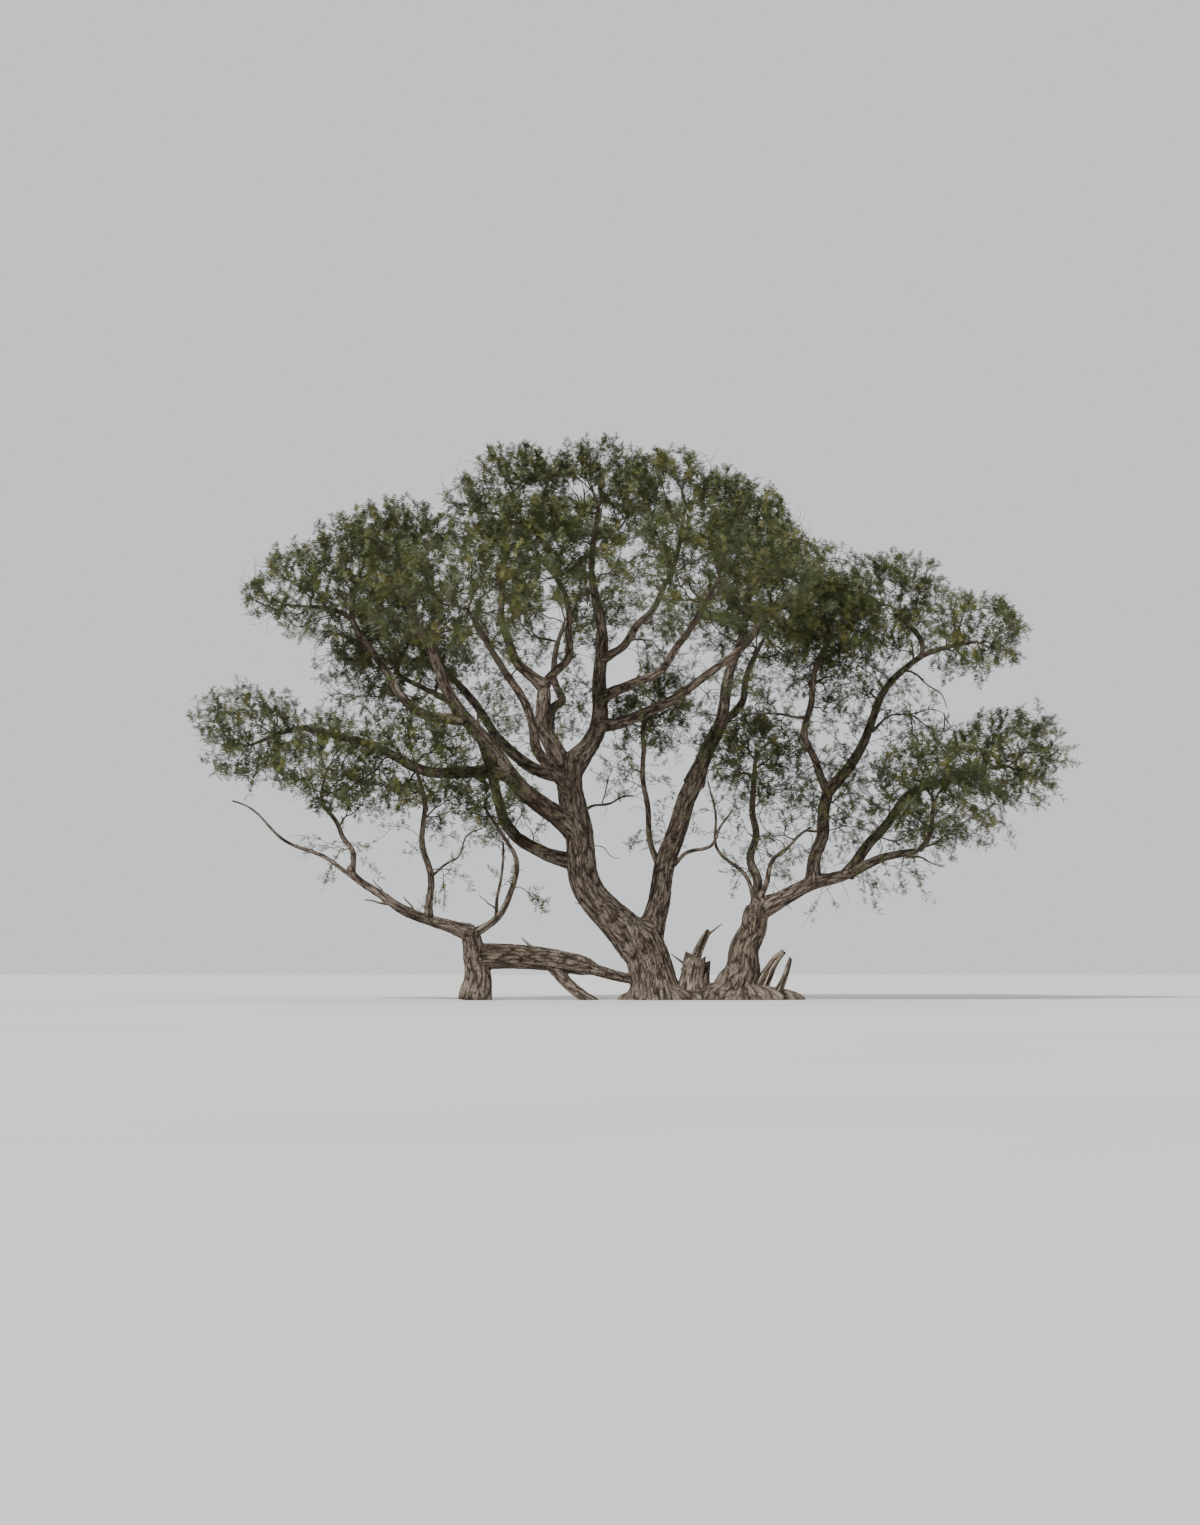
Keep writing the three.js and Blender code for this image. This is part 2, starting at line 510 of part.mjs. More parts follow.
// Twigs go out from the stem to evenly spread places in the space, each forking off the nearest wood
// that is already there, and each ends in a blade that points on outwards and keeps clear of the others.
function growMass(name, seed) {
  const { middle, reach, blades, core } = MASSES[name];
  const random = seeded(seed);
  const stem = stems[name];
  const heart = vector(middle);
  const wood = STEM.forks
    .map((t) => ({ point: stem.line.getPoint(t), path: 0, used: 0, girth: STEM.girth }))
    .filter(({ point }) => ownSide(name, point));
  let shape = stem.shape;
  if (core)
    shape = shape.add(
      solid(new THREE.IcosahedronGeometry(1, 1).scale(...reach.map((r) => r * core)).translate(...middle)),
    );
  let narrow = narrowest(tidied(shape));
  const grownBlades = [];
  const grownTwigs = [stem.shape];
  const apart = (piece, others) => others.every((other) => piece.minGap(other, BLADE_SPACE) >= BLADE_SPACE);
  const turn = random();
  for (let i = 0; i < blades * SEARCH.tries && grownBlades.length < blades; i++) {
    const out = evenDirection(i, turn).multiply(vector(reach));
    const size = THREE.MathUtils.lerp(...LEAF.sizes, random());
    const half = (LEAF.length / 2) * size;
    for (let turned = 0; turned < SEARCH.turns; turned++) {
      const depth = 1 - (half * (SEARCH.depth + SEARCH.deeper * turned)) / out.length();
      const centre = heart.clone().addScaledVector(out, depth);
      const loose = vector([random() - 0.5, random() - 0.5, random() - 0.3]).multiplyScalar(SEARCH.loose);
      const direction = out.clone().normalize().add(loose).normalize();
      const root = centre.addScaledVector(direction, -half);
      const roll = (random() - 0.5) * Math.PI;
      const cost = ({ point, path, used }) =>
        point.distanceTo(root) + SEARCH.path * path + SEARCH.used * used;
      const nearest = wood.reduce((best, node) => (cost(node) < cost(best) ? node : best));
      const girth = Math.max(TWIG.least, nearest.girth * TWIG.foot);
      const corners = sprigCorners(nearest.point, girth, root, direction, roll, size);
      const bladeCorners = [...corners.root, ...corners.widest, ...corners.tip];
      if (!bladeCorners.every((corner) => insideMass(name, corner))) continue;
      if (!corners.foot.every((corner) => ownSide(name, corner))) continue;
      const blade = hull(bladeCorners);
      const twig = hull([...corners.foot, ...corners.root]);
      if (!apart(blade, grownBlades) || !apart(twig, grownBlades) || !apart(blade, grownTwigs)) continue;
      if (!clearOfLimbs(blade, name) || !clearOfLimbs(twig, name)) continue;
      const fused = shape.add(sprigSolid(corners));
      const least = narrowest(tidied(fused));
      if (least < Math.min(SLIVER, narrow)) continue;
      shape = fused;
      narrow = least;
      grownBlades.push(blade);
      grownTwigs.push(twig);
      nearest.used += 1;
      const fork = nearest.point.clone().lerp(root, TWIG.fork);
      const path = nearest.path + nearest.point.distanceTo(fork);
      const left = THREE.MathUtils.lerp(1, TWIG.taper, TWIG.fork);
      wood.push({ point: fork, path, used: 0, girth: girth * left });
      break;
    }
  }
  return largest(stem.rooms.reduce((left, room) => left.subtract(room), tidied(shape)));
}

Object.keys(MASSES).forEach((name, index) => {
  solids[name] = growMass(name, 500 + index);
});

// A solid as a named mesh
function mesh(name, shape) {
  const { vertProperties, triVerts, numProp, numVert } = shape.getMesh();
  const points = new Float32Array(numVert * 3);
  for (let i = 0; i < numVert; i++) points.set(vertProperties.subarray(i * numProp, i * numProp + 3), i * 3);
  const geometry = new THREE.BufferGeometry()
    .setAttribute("position", new THREE.BufferAttribute(points, 3))
    .setIndex(new THREE.BufferAttribute(triVerts, 1));
  geometry.computeVertexNormals();
  const finish = name.endsWith("_mass") ? FINISH.foliage : FINISH.bark;
  const made = new THREE.Mesh(geometry, new THREE.MeshStandardMaterial(finish));
  made.name = name;
  return made;
}

const tree = new THREE.Group();
for (const [name, shape] of Object.entries(solids)) tree.add(mesh(name, shape));

export default tree;
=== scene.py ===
# %% [markdown]
# This is a lesson in dressing a big old tree. The construction already holds the trunk, each limb and each
# mass of foliage as a plain solid at its real size, in metres, with z up and the ground at z = 0. Blender
# adds what the eye expects of it: bark that has split into ridges, thousands of twigs, and leaves.

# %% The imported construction
import math
from collections import namedtuple
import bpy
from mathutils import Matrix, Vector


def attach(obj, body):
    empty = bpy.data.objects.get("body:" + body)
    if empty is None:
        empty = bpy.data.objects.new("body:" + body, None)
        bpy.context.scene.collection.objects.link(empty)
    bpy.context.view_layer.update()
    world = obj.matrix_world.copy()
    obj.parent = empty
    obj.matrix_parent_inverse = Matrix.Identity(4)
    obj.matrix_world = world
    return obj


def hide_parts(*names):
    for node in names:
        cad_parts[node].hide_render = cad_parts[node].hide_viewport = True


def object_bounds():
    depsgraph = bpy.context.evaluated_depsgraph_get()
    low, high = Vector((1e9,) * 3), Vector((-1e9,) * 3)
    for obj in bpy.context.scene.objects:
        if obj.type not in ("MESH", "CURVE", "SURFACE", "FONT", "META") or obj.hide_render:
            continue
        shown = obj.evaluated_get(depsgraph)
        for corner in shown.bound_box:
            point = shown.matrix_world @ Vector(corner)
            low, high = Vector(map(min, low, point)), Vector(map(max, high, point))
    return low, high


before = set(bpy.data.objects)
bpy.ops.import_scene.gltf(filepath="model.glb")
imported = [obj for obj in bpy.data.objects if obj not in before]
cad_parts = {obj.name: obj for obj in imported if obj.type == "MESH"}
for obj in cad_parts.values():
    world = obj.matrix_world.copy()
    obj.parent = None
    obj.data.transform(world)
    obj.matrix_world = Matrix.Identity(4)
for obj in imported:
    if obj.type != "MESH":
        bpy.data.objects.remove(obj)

from types import SimpleNamespace as Sizes

import bmesh
import bpy
import numpy as np
from mathutils import Vector, noise

cad_box = [list(corner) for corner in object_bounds()]
print("nodes", len(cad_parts), "box", np.round(cad_box, 2).tolist())

# %% [markdown]
# The tree is drawn again from the same named sizes as its solids, so that bark and twigs lie where the
# solids lie. A limb's root is an earlier limb and a share of its length, or a place of its own. The limb
# leaves it in one direction and arrives at its tip in another. Its girth is the diameter at foot and tip.

# %% The sizes of the trunk and the limbs
def table(kind, **rows):
    return {name: kind(*row) for name, row in rows.items()}


Limb = namedtuple("Limb", "root tip leave arrive girth crook")
LIMB_SHAPE = Sizes(hold=0.38, thinning=0.8, waves=(7, 11))
FLARE = Sizes(reach=0.23, height=0.42, lobes=5, depth=0.35)
ROOT_CROWN = Sizes(centre=(0.9, 0.02, 0), reach=(1.5, 0.43, 0.27))
TRUNK = Limb((0, 0, -0.3 * FLARE.height), (-0.27, 0, 1.05), (0, 0, 1), (-0.45, 0, 1), (0.8, 0.64), 0)
LIMBS = table(
    Limb,
    leader=(("trunk", 0.8), (-1.37, 0.06, 3.8), (-1, 0, 0.75), (0, 0, 1), (0.56, 0.4), 0.02),
    centre_stem=(("trunk", 0.75), (0.67, 0.22, 3.52), (0.3, 0.1, 1), (0.5, 0.05, 0.9), (0.38, 0.29), 0.02),
    right_stem=((1.25, 0.12, 0.09), (1.64, 0.12, 1.56), (0.3, 0, 1), (0.15, 0, 1), (0.56, 0.38), 0.03),
    low_stem=((-2.86, -0.26, 0), (-2.95, -0.3, 1.12), (0.1, 0, 1), (-0.25, 0, 1), (0.42, 0.3), 0.02),
    left_bough=(("leader", 0.66), (-3.83, -0.7, 6), (-0.85, -0.25, 0.6), (-0.45, -0.1, 0.9), (0.35, 0.14),
        0.03),
    curl_bough=(("leader", 0.52), (-2.9, 0.76, 4.48), (-1, 0.35, 0), (-0.2, 0.15, 1), (0.25, 0.11), 0.03),
    left_fork=(("leader", 0.97), (-1.77, -0.12, 5.05), (-0.9, -0.15, 0.7), (0.1, 0, 1), (0.32, 0.215), 0.02),
    top_leader=(("leader", 0.97), (-1.02, 0.24, 7), (0.75, 0.1, 0.8), (-0.1, 0.05, 1), (0.36, 0.11), 0.02),
    left_back_bough=(("leader", 0.93), (-3.35, 1.85, 5.35), (-0.75, 0.7, 0.15), (-0.6, 0.4, 0.8),
        (0.23, 0.11), 0.03),
    left_fork_rise=(("left_fork", 0.97), (-2.45, 0.12, 6.64), (-0.9, 0.1, 0.6), (0.1, 0, 1), (0.19, 0.09),
        0.03),
    left_fork_lean=(("left_fork", 0.97), (-1.42, -1.25, 6.35), (0.6, -0.35, 0.7), (-0.2, -0.4, 0.8),
        (0.15, 0.08), 0.04),
    left_reach=(("left_bough", 0.6), (-4.87, -0.06, 6.12), (-1, 0.3, -0.05), (-0.4, 0, 0.9), (0.19, 0.09),
        0.03),
    low_left_bough=(("left_bough", 0.34), (-5.6, -0.33, 4.33), (-1, -0.25, -0.05), (-0.9, 0.05, 0.25),
        (0.22, 0.095), 0.025),
    cross_bough=(("top_leader", 0.25), (1.4, -0.95, 5.56), (0.9, -0.45, -0.05), (0.85, -0.1, 0.55),
        (0.2, 0.105), 0.02),
    upper_right_limb=(("top_leader", 0.55), (0.25, -0.48, 6.76), (0.85, -0.35, 0.5), (0.5, -0.1, 0.9),
        (0.15, 0.08), 0.03),
    front_left_bough=(("leader", 0.84), (-2.35, -2.3, 5.05), (-0.35, -0.85, 0.4), (-0.45, -0.6, 0.75),
        (0.23, 0.105), 0.03),
    front_right_bough=(("top_leader", 0.36), (0.45, -2.35, 5.6), (0.5, -0.8, 0.35), (0.5, -0.55, 0.75),
        (0.19, 0.1), 0.03),
    back_left_bough=(("left_fork", 0.45), (-1.65, 2.3, 5.7), (0.1, 0.9, 0.4), (-0.1, 0.55, 0.8), (0.2, 0.1),
        0.03),
    centre_rise=(("centre_stem", 0.97), (1.53, 0.62, 6.48), (0.4, 0.1, 0.9), (0.2, 0.15, 1), (0.28, 0.105),
        0.02),
    slim_upright=(("centre_stem", 0.45), (-0.2, 0.38, 4.3), (-0.5, 0.35, 0.9), (-0.15, 0, 1), (0.105, 0.07),
        0.02),
    back_right_bough=(("centre_rise", 0.3), (1.6, 2.35, 5.45), (0.1, 0.9, 0.35), (0.1, 0.6, 0.8), (0.18, 0.1),
        0.03),
    right_inner_bough=(("right_stem", 0.9), (1.58, 0.43, 3.05), (0.1, 0.25, 1), (0, 0.05, 1), (0.17, 0.1),
        0.04),
    right_bough=(("right_stem", 0.92), (4.24, -0.26, 2.38), (0.9, -0.15, 0.38), (0.95, 0, 0.2), (0.31, 0.1),
        0.02),
    right_upright=(("right_bough", 0.36), (2.79, 0.09, 3.42), (0.05, 0.25, 1), (0.1, 0, 1), (0.22, 0.19),
        0.02),
    right_outer_bough=(("right_bough", 0.56), (4.95, 0.33, 3.64), (0.55, 0.35, 0.75), (0.9, 0.1, 0.25),
        (0.19, 0.095), 0.03),
    right_inner_rise=(("right_upright", 0.96), (2.5, -0.42, 5.1), (-0.6, -0.15, 0.8), (0.1, -0.1, 1),
        (0.14, 0.09), 0.03),
    right_sweep=(("right_upright", 0.96), (4.35, 0.26, 5.56), (0.75, 0.1, 0.7), (0.8, 0.1, 0.5),
        (0.185, 0.09), 0.02),
    low_bough=(("low_stem", 0.94), (-4.85, -0.62, 2.12), (-0.9, -0.25, 0.45), (-0.45, 0, 0.9), (0.23, 0.105),
        0.04),
    low_upright=(("low_bough", 0.3), (-3.64, -0.62, 3.06), (0.05, -0.1, 1), (0.1, 0, 1), (0.135, 0.08), 0.03),
    low_rise=(("low_bough", 0.95), (-5.3, -0.42, 3.12), (0.1, 0.15, 1), (-0.6, 0, 0.8), (0.095, 0.06), 0.03),
    dead_limb=(("low_bough", 0.88), (-6.72, -0.56, 3.15), (-1, 0.05, 0.4), (-0.8, 0, 0.3), (0.084, 0.026),
        0.05),
    low_crook=(("low_stem", 0.93), (-2.3, -0.52, 2.42), (0.9, -0.2, 0.35), (-0.6, 0, 0.9), (0.13, 0.065),
        0.02),
)
print("limbs", len(LIMBS))

# %% The fallen limb, the broken stump and its splinters
Log = namedtuple("Log", "start end girth sag", defaults=((0, 0, 0),))
FALLEN = table(
    Log,
    strand=((-0.38, -0.04, 0.33), (-1, -0.13, 0.5), (0.15, 0.19), (0, 0, -0.03)),
    log=((-0.9, -0.12, 0.48), (-2.72, -0.25, 0.69), (0.29, 0.41), (0, 0, 0.14)),
    leg=((-1.62, -0.19, 0.52), (-0.93, -0.23, -0.06), (0.21, 0.17), (-0.06, 0, -0.09)),
)
SNAGS = table(
    Log,
    stump=((0.57, -0.06, -0.04), (0.68, -0.07, 0.68), (0.56, 0.4)),
    stump_spike=((0.52, -0.04, 0.42), (0.85, -0.06, 1.12), (0.26, 0.09)),
    stump_point=((0.8, -0.05, 1), (1.07, -0.06, 1.215), (0.056, 0.014)),
    stump_barb=((0.6, -0.08, 0.47), (0.25, -0.1, 0.735), (0.08, 0.016)),
    splinter_back=((1.64, 0.06, 0.04), (2.07, 0.08, 0.78), (0.32, 0.1), (-0.05, 0, 0.14)),
    splinter_front=((1.9, -0.15, 0.04), (2.16, -0.17, 0.69), (0.16, 0.05), (0.04, 0, -0.02)),
    log_snag=((-1.9, -0.2, 0.78), (-2.13, -0.19, 0.985), (0.07, 0.024)),
)

# %% Slender limbs and dead twigs that are too slim to be solids
SLENDER = table(
    Limb,
    second_crook=((-2.86, -0.32, 1.1), (-2.42, -0.46, 2.5), (0.95, -0.05, 0.3), (0, -0.1, 1), (0.07, 0.035),
        0.06),
    trunk_side_limb=((-1.3, 0.06, 2.7), (-0.32, 0.12, 3.26), (0.5, 0, 1), (1, 0, 0), (0.065, 0.03), 0.04),
    arching_limb=((1.6, 0.1, 1.55), (0.85, 0.02, 3.5), (-0.5, 0, 1), (-0.1, 0, 1), (0.075, 0.03), 0.06),
    centre_side_limb=((0.2, 0.12, 2.1), (1.25, -0.12, 3.05), (0.8, 0, 0.4), (0.5, 0, 0.9), (0.08, 0.03),
        0.05),
    fork_limb=((1.66, 0.02, 1.6), (2.5, -0.2, 2.75), (0.3, 0, 1), (0.8, 0, 0.5), (0.1, 0.035), 0.04),
    upright_twig=((2.62, 0, 2.7), (1.85, -0.15, 2.62), (-1, 0, -0.2), (-1, 0, 0.2), (0.045, 0.015), 0.06),
    cross_twig=((2.42, -0.2, 4.5), (1.15, -0.3, 4.42), (-1, 0, 0.1), (-1, 0, -0.4), (0.05, 0.018), 0.04),
    sweep_twig=((3.5, 0.18, 4.3), (4.65, 0.1, 4.6), (0.8, 0, 0.7), (1, 0, -0.4), (0.05, 0.014), 0.05),
    drooping_twig=((3.95, 0.24, 5.3), (4.72, 0.2, 4.66), (1, 0, 0), (0.4, 0, -1), (0.045, 0.012), 0.05),
    low_side_limb=((-3.57, -0.44, 1.95), (-2.72, -0.5, 2.72), (0.8, 0, 0.4), (0.9, 0, 0.35), (0.05, 0.016),
        0.05),
    left_stub=((-4.16, -0.66, 1.53), (-4.6, -0.68, 1.58), (-1, 0, -0.2), (-1, 0, 0.1), (0.05, 0.02), 0.02),
    upper_stub=((-3.79, -0.46, 1.34), (-3.99, -0.5, 1.64), (-0.3, 0, 1), (-0.6, 0, 1), (0.045, 0.014), 0.02),
    dead_end=((3.98, -0.22, 2.27), (4.59, -0.3, 2.1), (1, 0, 0), (1, 0, -0.5), (0.05, 0.014), 0.04),
    crook_spike=((-2.52, -0.29, 1.44), (-2.8, -0.38, 1.67), (-1, 0, 0.5), (-1, 0, 1), (0.03, 0.01), 0.05),
    bough_spike=((-4.3, -0.55, 1.62), (-4.47, -0.6, 1.93), (0, 0, 1), (-0.4, 0, 1), (0.03, 0.01), 0.06),
    bark_spike=((-0.85, -0.05, 1.4), (-1.3, -0.12, 1.56), (-1, 0, 0.2), (-1, 0, 0.6), (0.035, 0.01), 0.06),
    trunk_twig=((-1.3, -0.05, 2.55), (-0.55, -0.2, 2.25), (1, -0.1, -0.1), (1, 0, -0.2), (0.03, 0.01), 0.06),
)

# %% [markdown]
# A mass of foliage is a rounded space with a middle and a reach along x, y and z. It is fed by a stem that
# goes on from the tip of its source. The masses are gathered into five parts of the crown, to keep each piece
# below 200,000 triangles. A few are denser or thinner than the rest.

# %% The spaces of the foliage
Mass = namedtuple("Mass", "part source middle reach dense", defaults=(1,))
CROWN_PARTS = ("left", "low_left", "top", "right", "deep")
MASSES = table(
    Mass,
    top_left_mass=("top", "left_fork_rise", (-2.35, -0.45, 8.05), (1.35, 1.5, 1.06)),
    top_centre_mass=("top", "top_leader", (-0.9, 0.85, 8.2), (1.3, 1.5, 1.02)),
    top_right_mass=("top", "upper_right_limb", (0.48, -0.65, 8), (1.3, 1.5, 1.08)),
    shoulder_right_mass=("top", "centre_rise", (1.7, 0.85, 7.6), (1.15, 1.5, 1)),
    upper_left_mass=("left", "left_bough", (-3.95, -1.25, 7.05), (1.25, 1.35, 1)),
    left_shoulder_mass=("left", "left_reach", (-4.8, 0.75, 7.05), (1.25, 1.4, 1)),
    left_tip_mass=("left", "left_reach", (-5.85, -0.52, 6.42), (1.15, 1.3, 0.95), 0.75),
    left_back_mass=("left", "left_back_bough", (-4.1, 2.7, 6.25), (1.5, 1.5, 1.05)),
    left_hollow_mass=("left", "curl_bough", (-4.15, 0.75, 5.4), (1.35, 1.25, 0.9)),
    low_left_tip_mass=("low_left", "low_left_bough", (-6.45, -0.33, 4.2), (1.1, 1.25, 1)),
    low_left_mass=("low_left", "low_rise", (-5.2, -0.7, 3.75), (1.05, 1.35, 0.95)),
    low_upright_mass=("low_left", "low_upright", (-3.8, -0.8, 3.85), (1.1, 1.25, 0.95)),
    low_crook_mass=("low_left", "low_crook", (-2.7, -0.62, 3.15), (0.8, 0.95, 0.8), 0.45),
    inner_left_mass=("top", "left_fork_lean", (-1.8, -2.05, 6.95), (1.35, 1.3, 1.05)),
    centre_hang_mass=("low_left", "slim_upright", (-0.05, 0.65, 4.75), (0.85, 0.95, 0.8)),
    right_centre_mass=("right", "cross_bough", (1.8, -1.35, 6.35), (1.25, 1.25, 0.95)),
    dense_right_mass=("right", "right_inner_rise", (2.85, -0.35, 6), (1, 1.2, 0.9), 1.7),
    right_upper_mass=("right", "right_sweep", (3.9, 0.85, 6.55), (1.3, 1.45, 0.93)),
    right_outer_mass=("right", "right_sweep", (5.15, -0.3, 5.85), (1.05, 1.25, 0.9), 0.75),
    right_low_outer_mass=("right", "right_outer_bough", (5.7, 0.35, 3.9), (1.15, 1.3, 0.95)),
    right_low_mass=("right", "right_bough", (4.4, -0.65, 3.3), (1.2, 1.3, 1.15)),
    right_inner_mass=("low_left", "right_inner_bough", (1.64, 0.6, 4), (1.05, 1.15, 0.9)),
    front_left_mass=("deep", "front_left_bough", (-2.85, -3.45, 6), (1.85, 1.6, 1.1)),
    front_right_mass=("deep", "front_right_bough", (0.9, -3.4, 6.5), (1.9, 1.6, 1.15)),
    back_left_mass=("deep", "back_left_bough", (-1.5, 3.35, 6.6), (1.85, 1.7, 1.15)),
    back_right_mass=("deep", "back_right_bough", (1.95, 3.35, 6.35), (1.9, 1.7, 1.15)),
)
print("masses", len(MASSES))

# %% [markdown]
# A limb's middle line is a Bezier curve that wavers a little, as old wood does. The wavering is drawn from
# a small stream of numbers that gives the same draws for the same seed every time, so the bark follows the
# solid under it and the tree never changes between runs.

# %% A repeatable stream of numbers
WORD = 0xFFFFFFFF
SEEDS = dict(trunk=1, limbs=100, slender=300, masses=500, thickets=700, sprays=900)


def seeded(seed):
    state = seed & WORD

    def draw():
        nonlocal state
        state = (state + 0x6D2B79F5) & WORD
        mixed = ((state ^ (state >> 15)) * (state | 1)) & WORD
        mixed ^= (mixed + (((mixed ^ (mixed >> 7)) * (mixed | 61)) & WORD)) & WORD
        return (mixed ^ (mixed >> 14)) / (WORD + 1)

    return draw


def three(draw):
    return np.array([draw(), draw(), draw()])


def between(limits, share):
    return limits[0] + (limits[1] - limits[0]) * share


# %% A middle line with even steps along it
LINE_STEPS = 200


def unit(vectors):
    vectors = np.asarray(vectors, float)
    return vectors / np.maximum(np.linalg.norm(vectors, axis=-1, keepdims=True), 1e-9)


def bezier(corners, t):
    level = [np.asarray(corner, float) for corner in corners]
    while len(level) > 1:
        level = [a * (1 - t) + b * t for a, b in zip(level, level[1:])]
    return level[0]


class WoodLine:
    """A curve whose places are found by the share of its length."""

    def __init__(self, curve, girth):
        self.curve = curve
        self.girth = girth
        self.t = np.linspace(0, 1, LINE_STEPS + 1)
        path = curve(self.t[:, None])
        self.run = np.concatenate([[0], np.cumsum(np.linalg.norm(np.diff(path, axis=0), axis=1))])
        self.length = self.run[-1]

    def at(self, share):
        t = np.interp(np.atleast_1d(share) * self.length, self.run, self.t)
        return self.curve(t[:, None])

    def radius(self, share):
        return between(self.girth, np.asarray(share) ** LIMB_SHAPE.thinning) / 2


def limb_line(start, tip, leave, arrive, girth, crook, draw):
    start, tip = np.array(start, float), np.array(tip, float)
    span = np.linalg.norm(tip - start)
    held = span * LIMB_SHAPE.hold
    corners = (start, start + unit(leave) * held, tip - unit(arrive) * held, tip)
    along = unit(tip - start)
    side = unit(np.cross(three(draw) - 0.5, along))
    other = np.cross(along, side)
    phases = [draw() * math.tau, draw() * math.tau]
    slow, quick = LIMB_SHAPE.waves

    def curve(t):
        fade = np.sin(math.pi * t) * crook * span
        waver = side * np.sin(slow * t + phases[0]) + other * np.sin(quick * t + phases[1])
        return bezier(corners, t) + fade * waver

    return WoodLine(curve, girth)


def sagging_line(start, end, girth, sag):
    start, end = np.array(start, float), np.array(end, float)
    return WoodLine(lambda t: bezier((start, (start + end) / 2 + sag, end), t), girth)


# %% The lines of the whole tree
def on_a_limb(root):
    return isinstance(root[0], str)


lines = {}
for kind, limbs in (("trunk", dict(trunk=TRUNK)), ("limbs", LIMBS), ("slender", SLENDER)):
    for index, (name, limb) in enumerate(limbs.items()):
        start = lines[limb.root[0]].at(limb.root[1])[0] if on_a_limb(limb.root) else limb.root
        lines[name] = limb_line(start, *limb[1:], seeded(SEEDS[kind] + index))
print("wood in all", round(sum(line.length for line in lines.values()), 1), "m")

# %% [markdown]
# Thick wood starts as a cone primitive, cut into rings whose places are moved onto the middle line. To
# move a ring, it needs a direction to face, so a small frame is carried along the line without twisting.

# %% Frames along a line
def carried_frames(points):
    ahead = unit(np.gradient(points, axis=0))
    side = np.cross(ahead[0], (0, 0, 1) if abs(ahead[0][2]) < 0.9 else (0, 1, 0))
    sides = []
    for direction in ahead:
        side = unit(side - direction * np.dot(side, direction))
        sides.append(side)
    sides = np.array(sides)
    return ahead, sides, np.cross(ahead, sides)


# %% A column of rings on a line
def column(line, sides, ring_gap, radius_of=None):
    """A closed column round a line. radius_of(share, outwards) gives a ring's reach in a direction."""
    rings = max(3, round(line.length / ring_gap))
    shares = np.linspace(0, 1, rings + 1)
    middles = line.at(shares)
    _, across, over = carried_frames(middles)
    bm = bmesh.new()
    bmesh.ops.create_cone(bm, cap_ends=True, segments=sides, radius1=1, radius2=1, depth=1)
    uprights = [edge for edge in bm.edges if abs(edge.verts[0].co.z - edge.verts[1].co.z) > 0.5]
    bmesh.ops.subdivide_edges(bm, edges=uprights, cuts=rings - 1)
    for vert in bm.verts:
        ring = round((vert.co.z + 0.5) * rings)
        outwards = across[ring] * vert.co.x + over[ring] * vert.co.y
        radius = radius_of(shares[ring], outwards) if radius_of else line.radius(shares[ring])
        vert.co = Vector(middles[ring] + outwards * radius)
    bmesh.ops.recalc_face_normals(bm, faces=bm.faces)
    return bm


def gathered(parts):
    """Several small meshes as one."""
    whole = bmesh.new()
    for part in parts:
        held = mesh_of("held", part)
        whole.from_mesh(held)
        bpy.data.meshes.remove(held)
    return whole


# %% A finished piece
def mesh_of(name, bm):
    mesh = bpy.data.meshes.new(name)
    bm.to_mesh(mesh)
    bm.free()
    return mesh


def object_of(name, data):
    made = bpy.data.objects.new(name, data)
    bpy.context.scene.collection.objects.link(made)
    return made


def finished(name, mesh, smooth, finishes, nodes):
    """Makes the object, gives it its finishes, and lets it ride on the tree in place of its solids."""
    mesh.polygons.foreach_set("use_smooth", np.full(len(mesh.polygons), smooth))
    for finish in finishes:
        mesh.materials.append(finish)
    piece = object_of(name, mesh)
    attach(piece, "root")
    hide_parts(*nodes)
    print(name, "triangles", sum(len(face.vertices) - 2 for face in mesh.polygons))


def wooden_piece(name, bm, finish, nodes):
    finished(name, mesh_of(name, bm), True, [finish], nodes)


# %% [markdown]
# Bark is nearly black in its furrows and a dusty grey-brown on its ridges, where sun and wind have bleached
# it. Each vertex keeps the bark's height as the attribute relief, so colour and shape agree. Its attribute
# grain says where it is round and along its limb. It carries the fine cracks, which are too narrow for the
# mesh, and it is squeezed along the limb, so they run lengthways.

# %% Helpers for node materials
SHEEN = 0.25


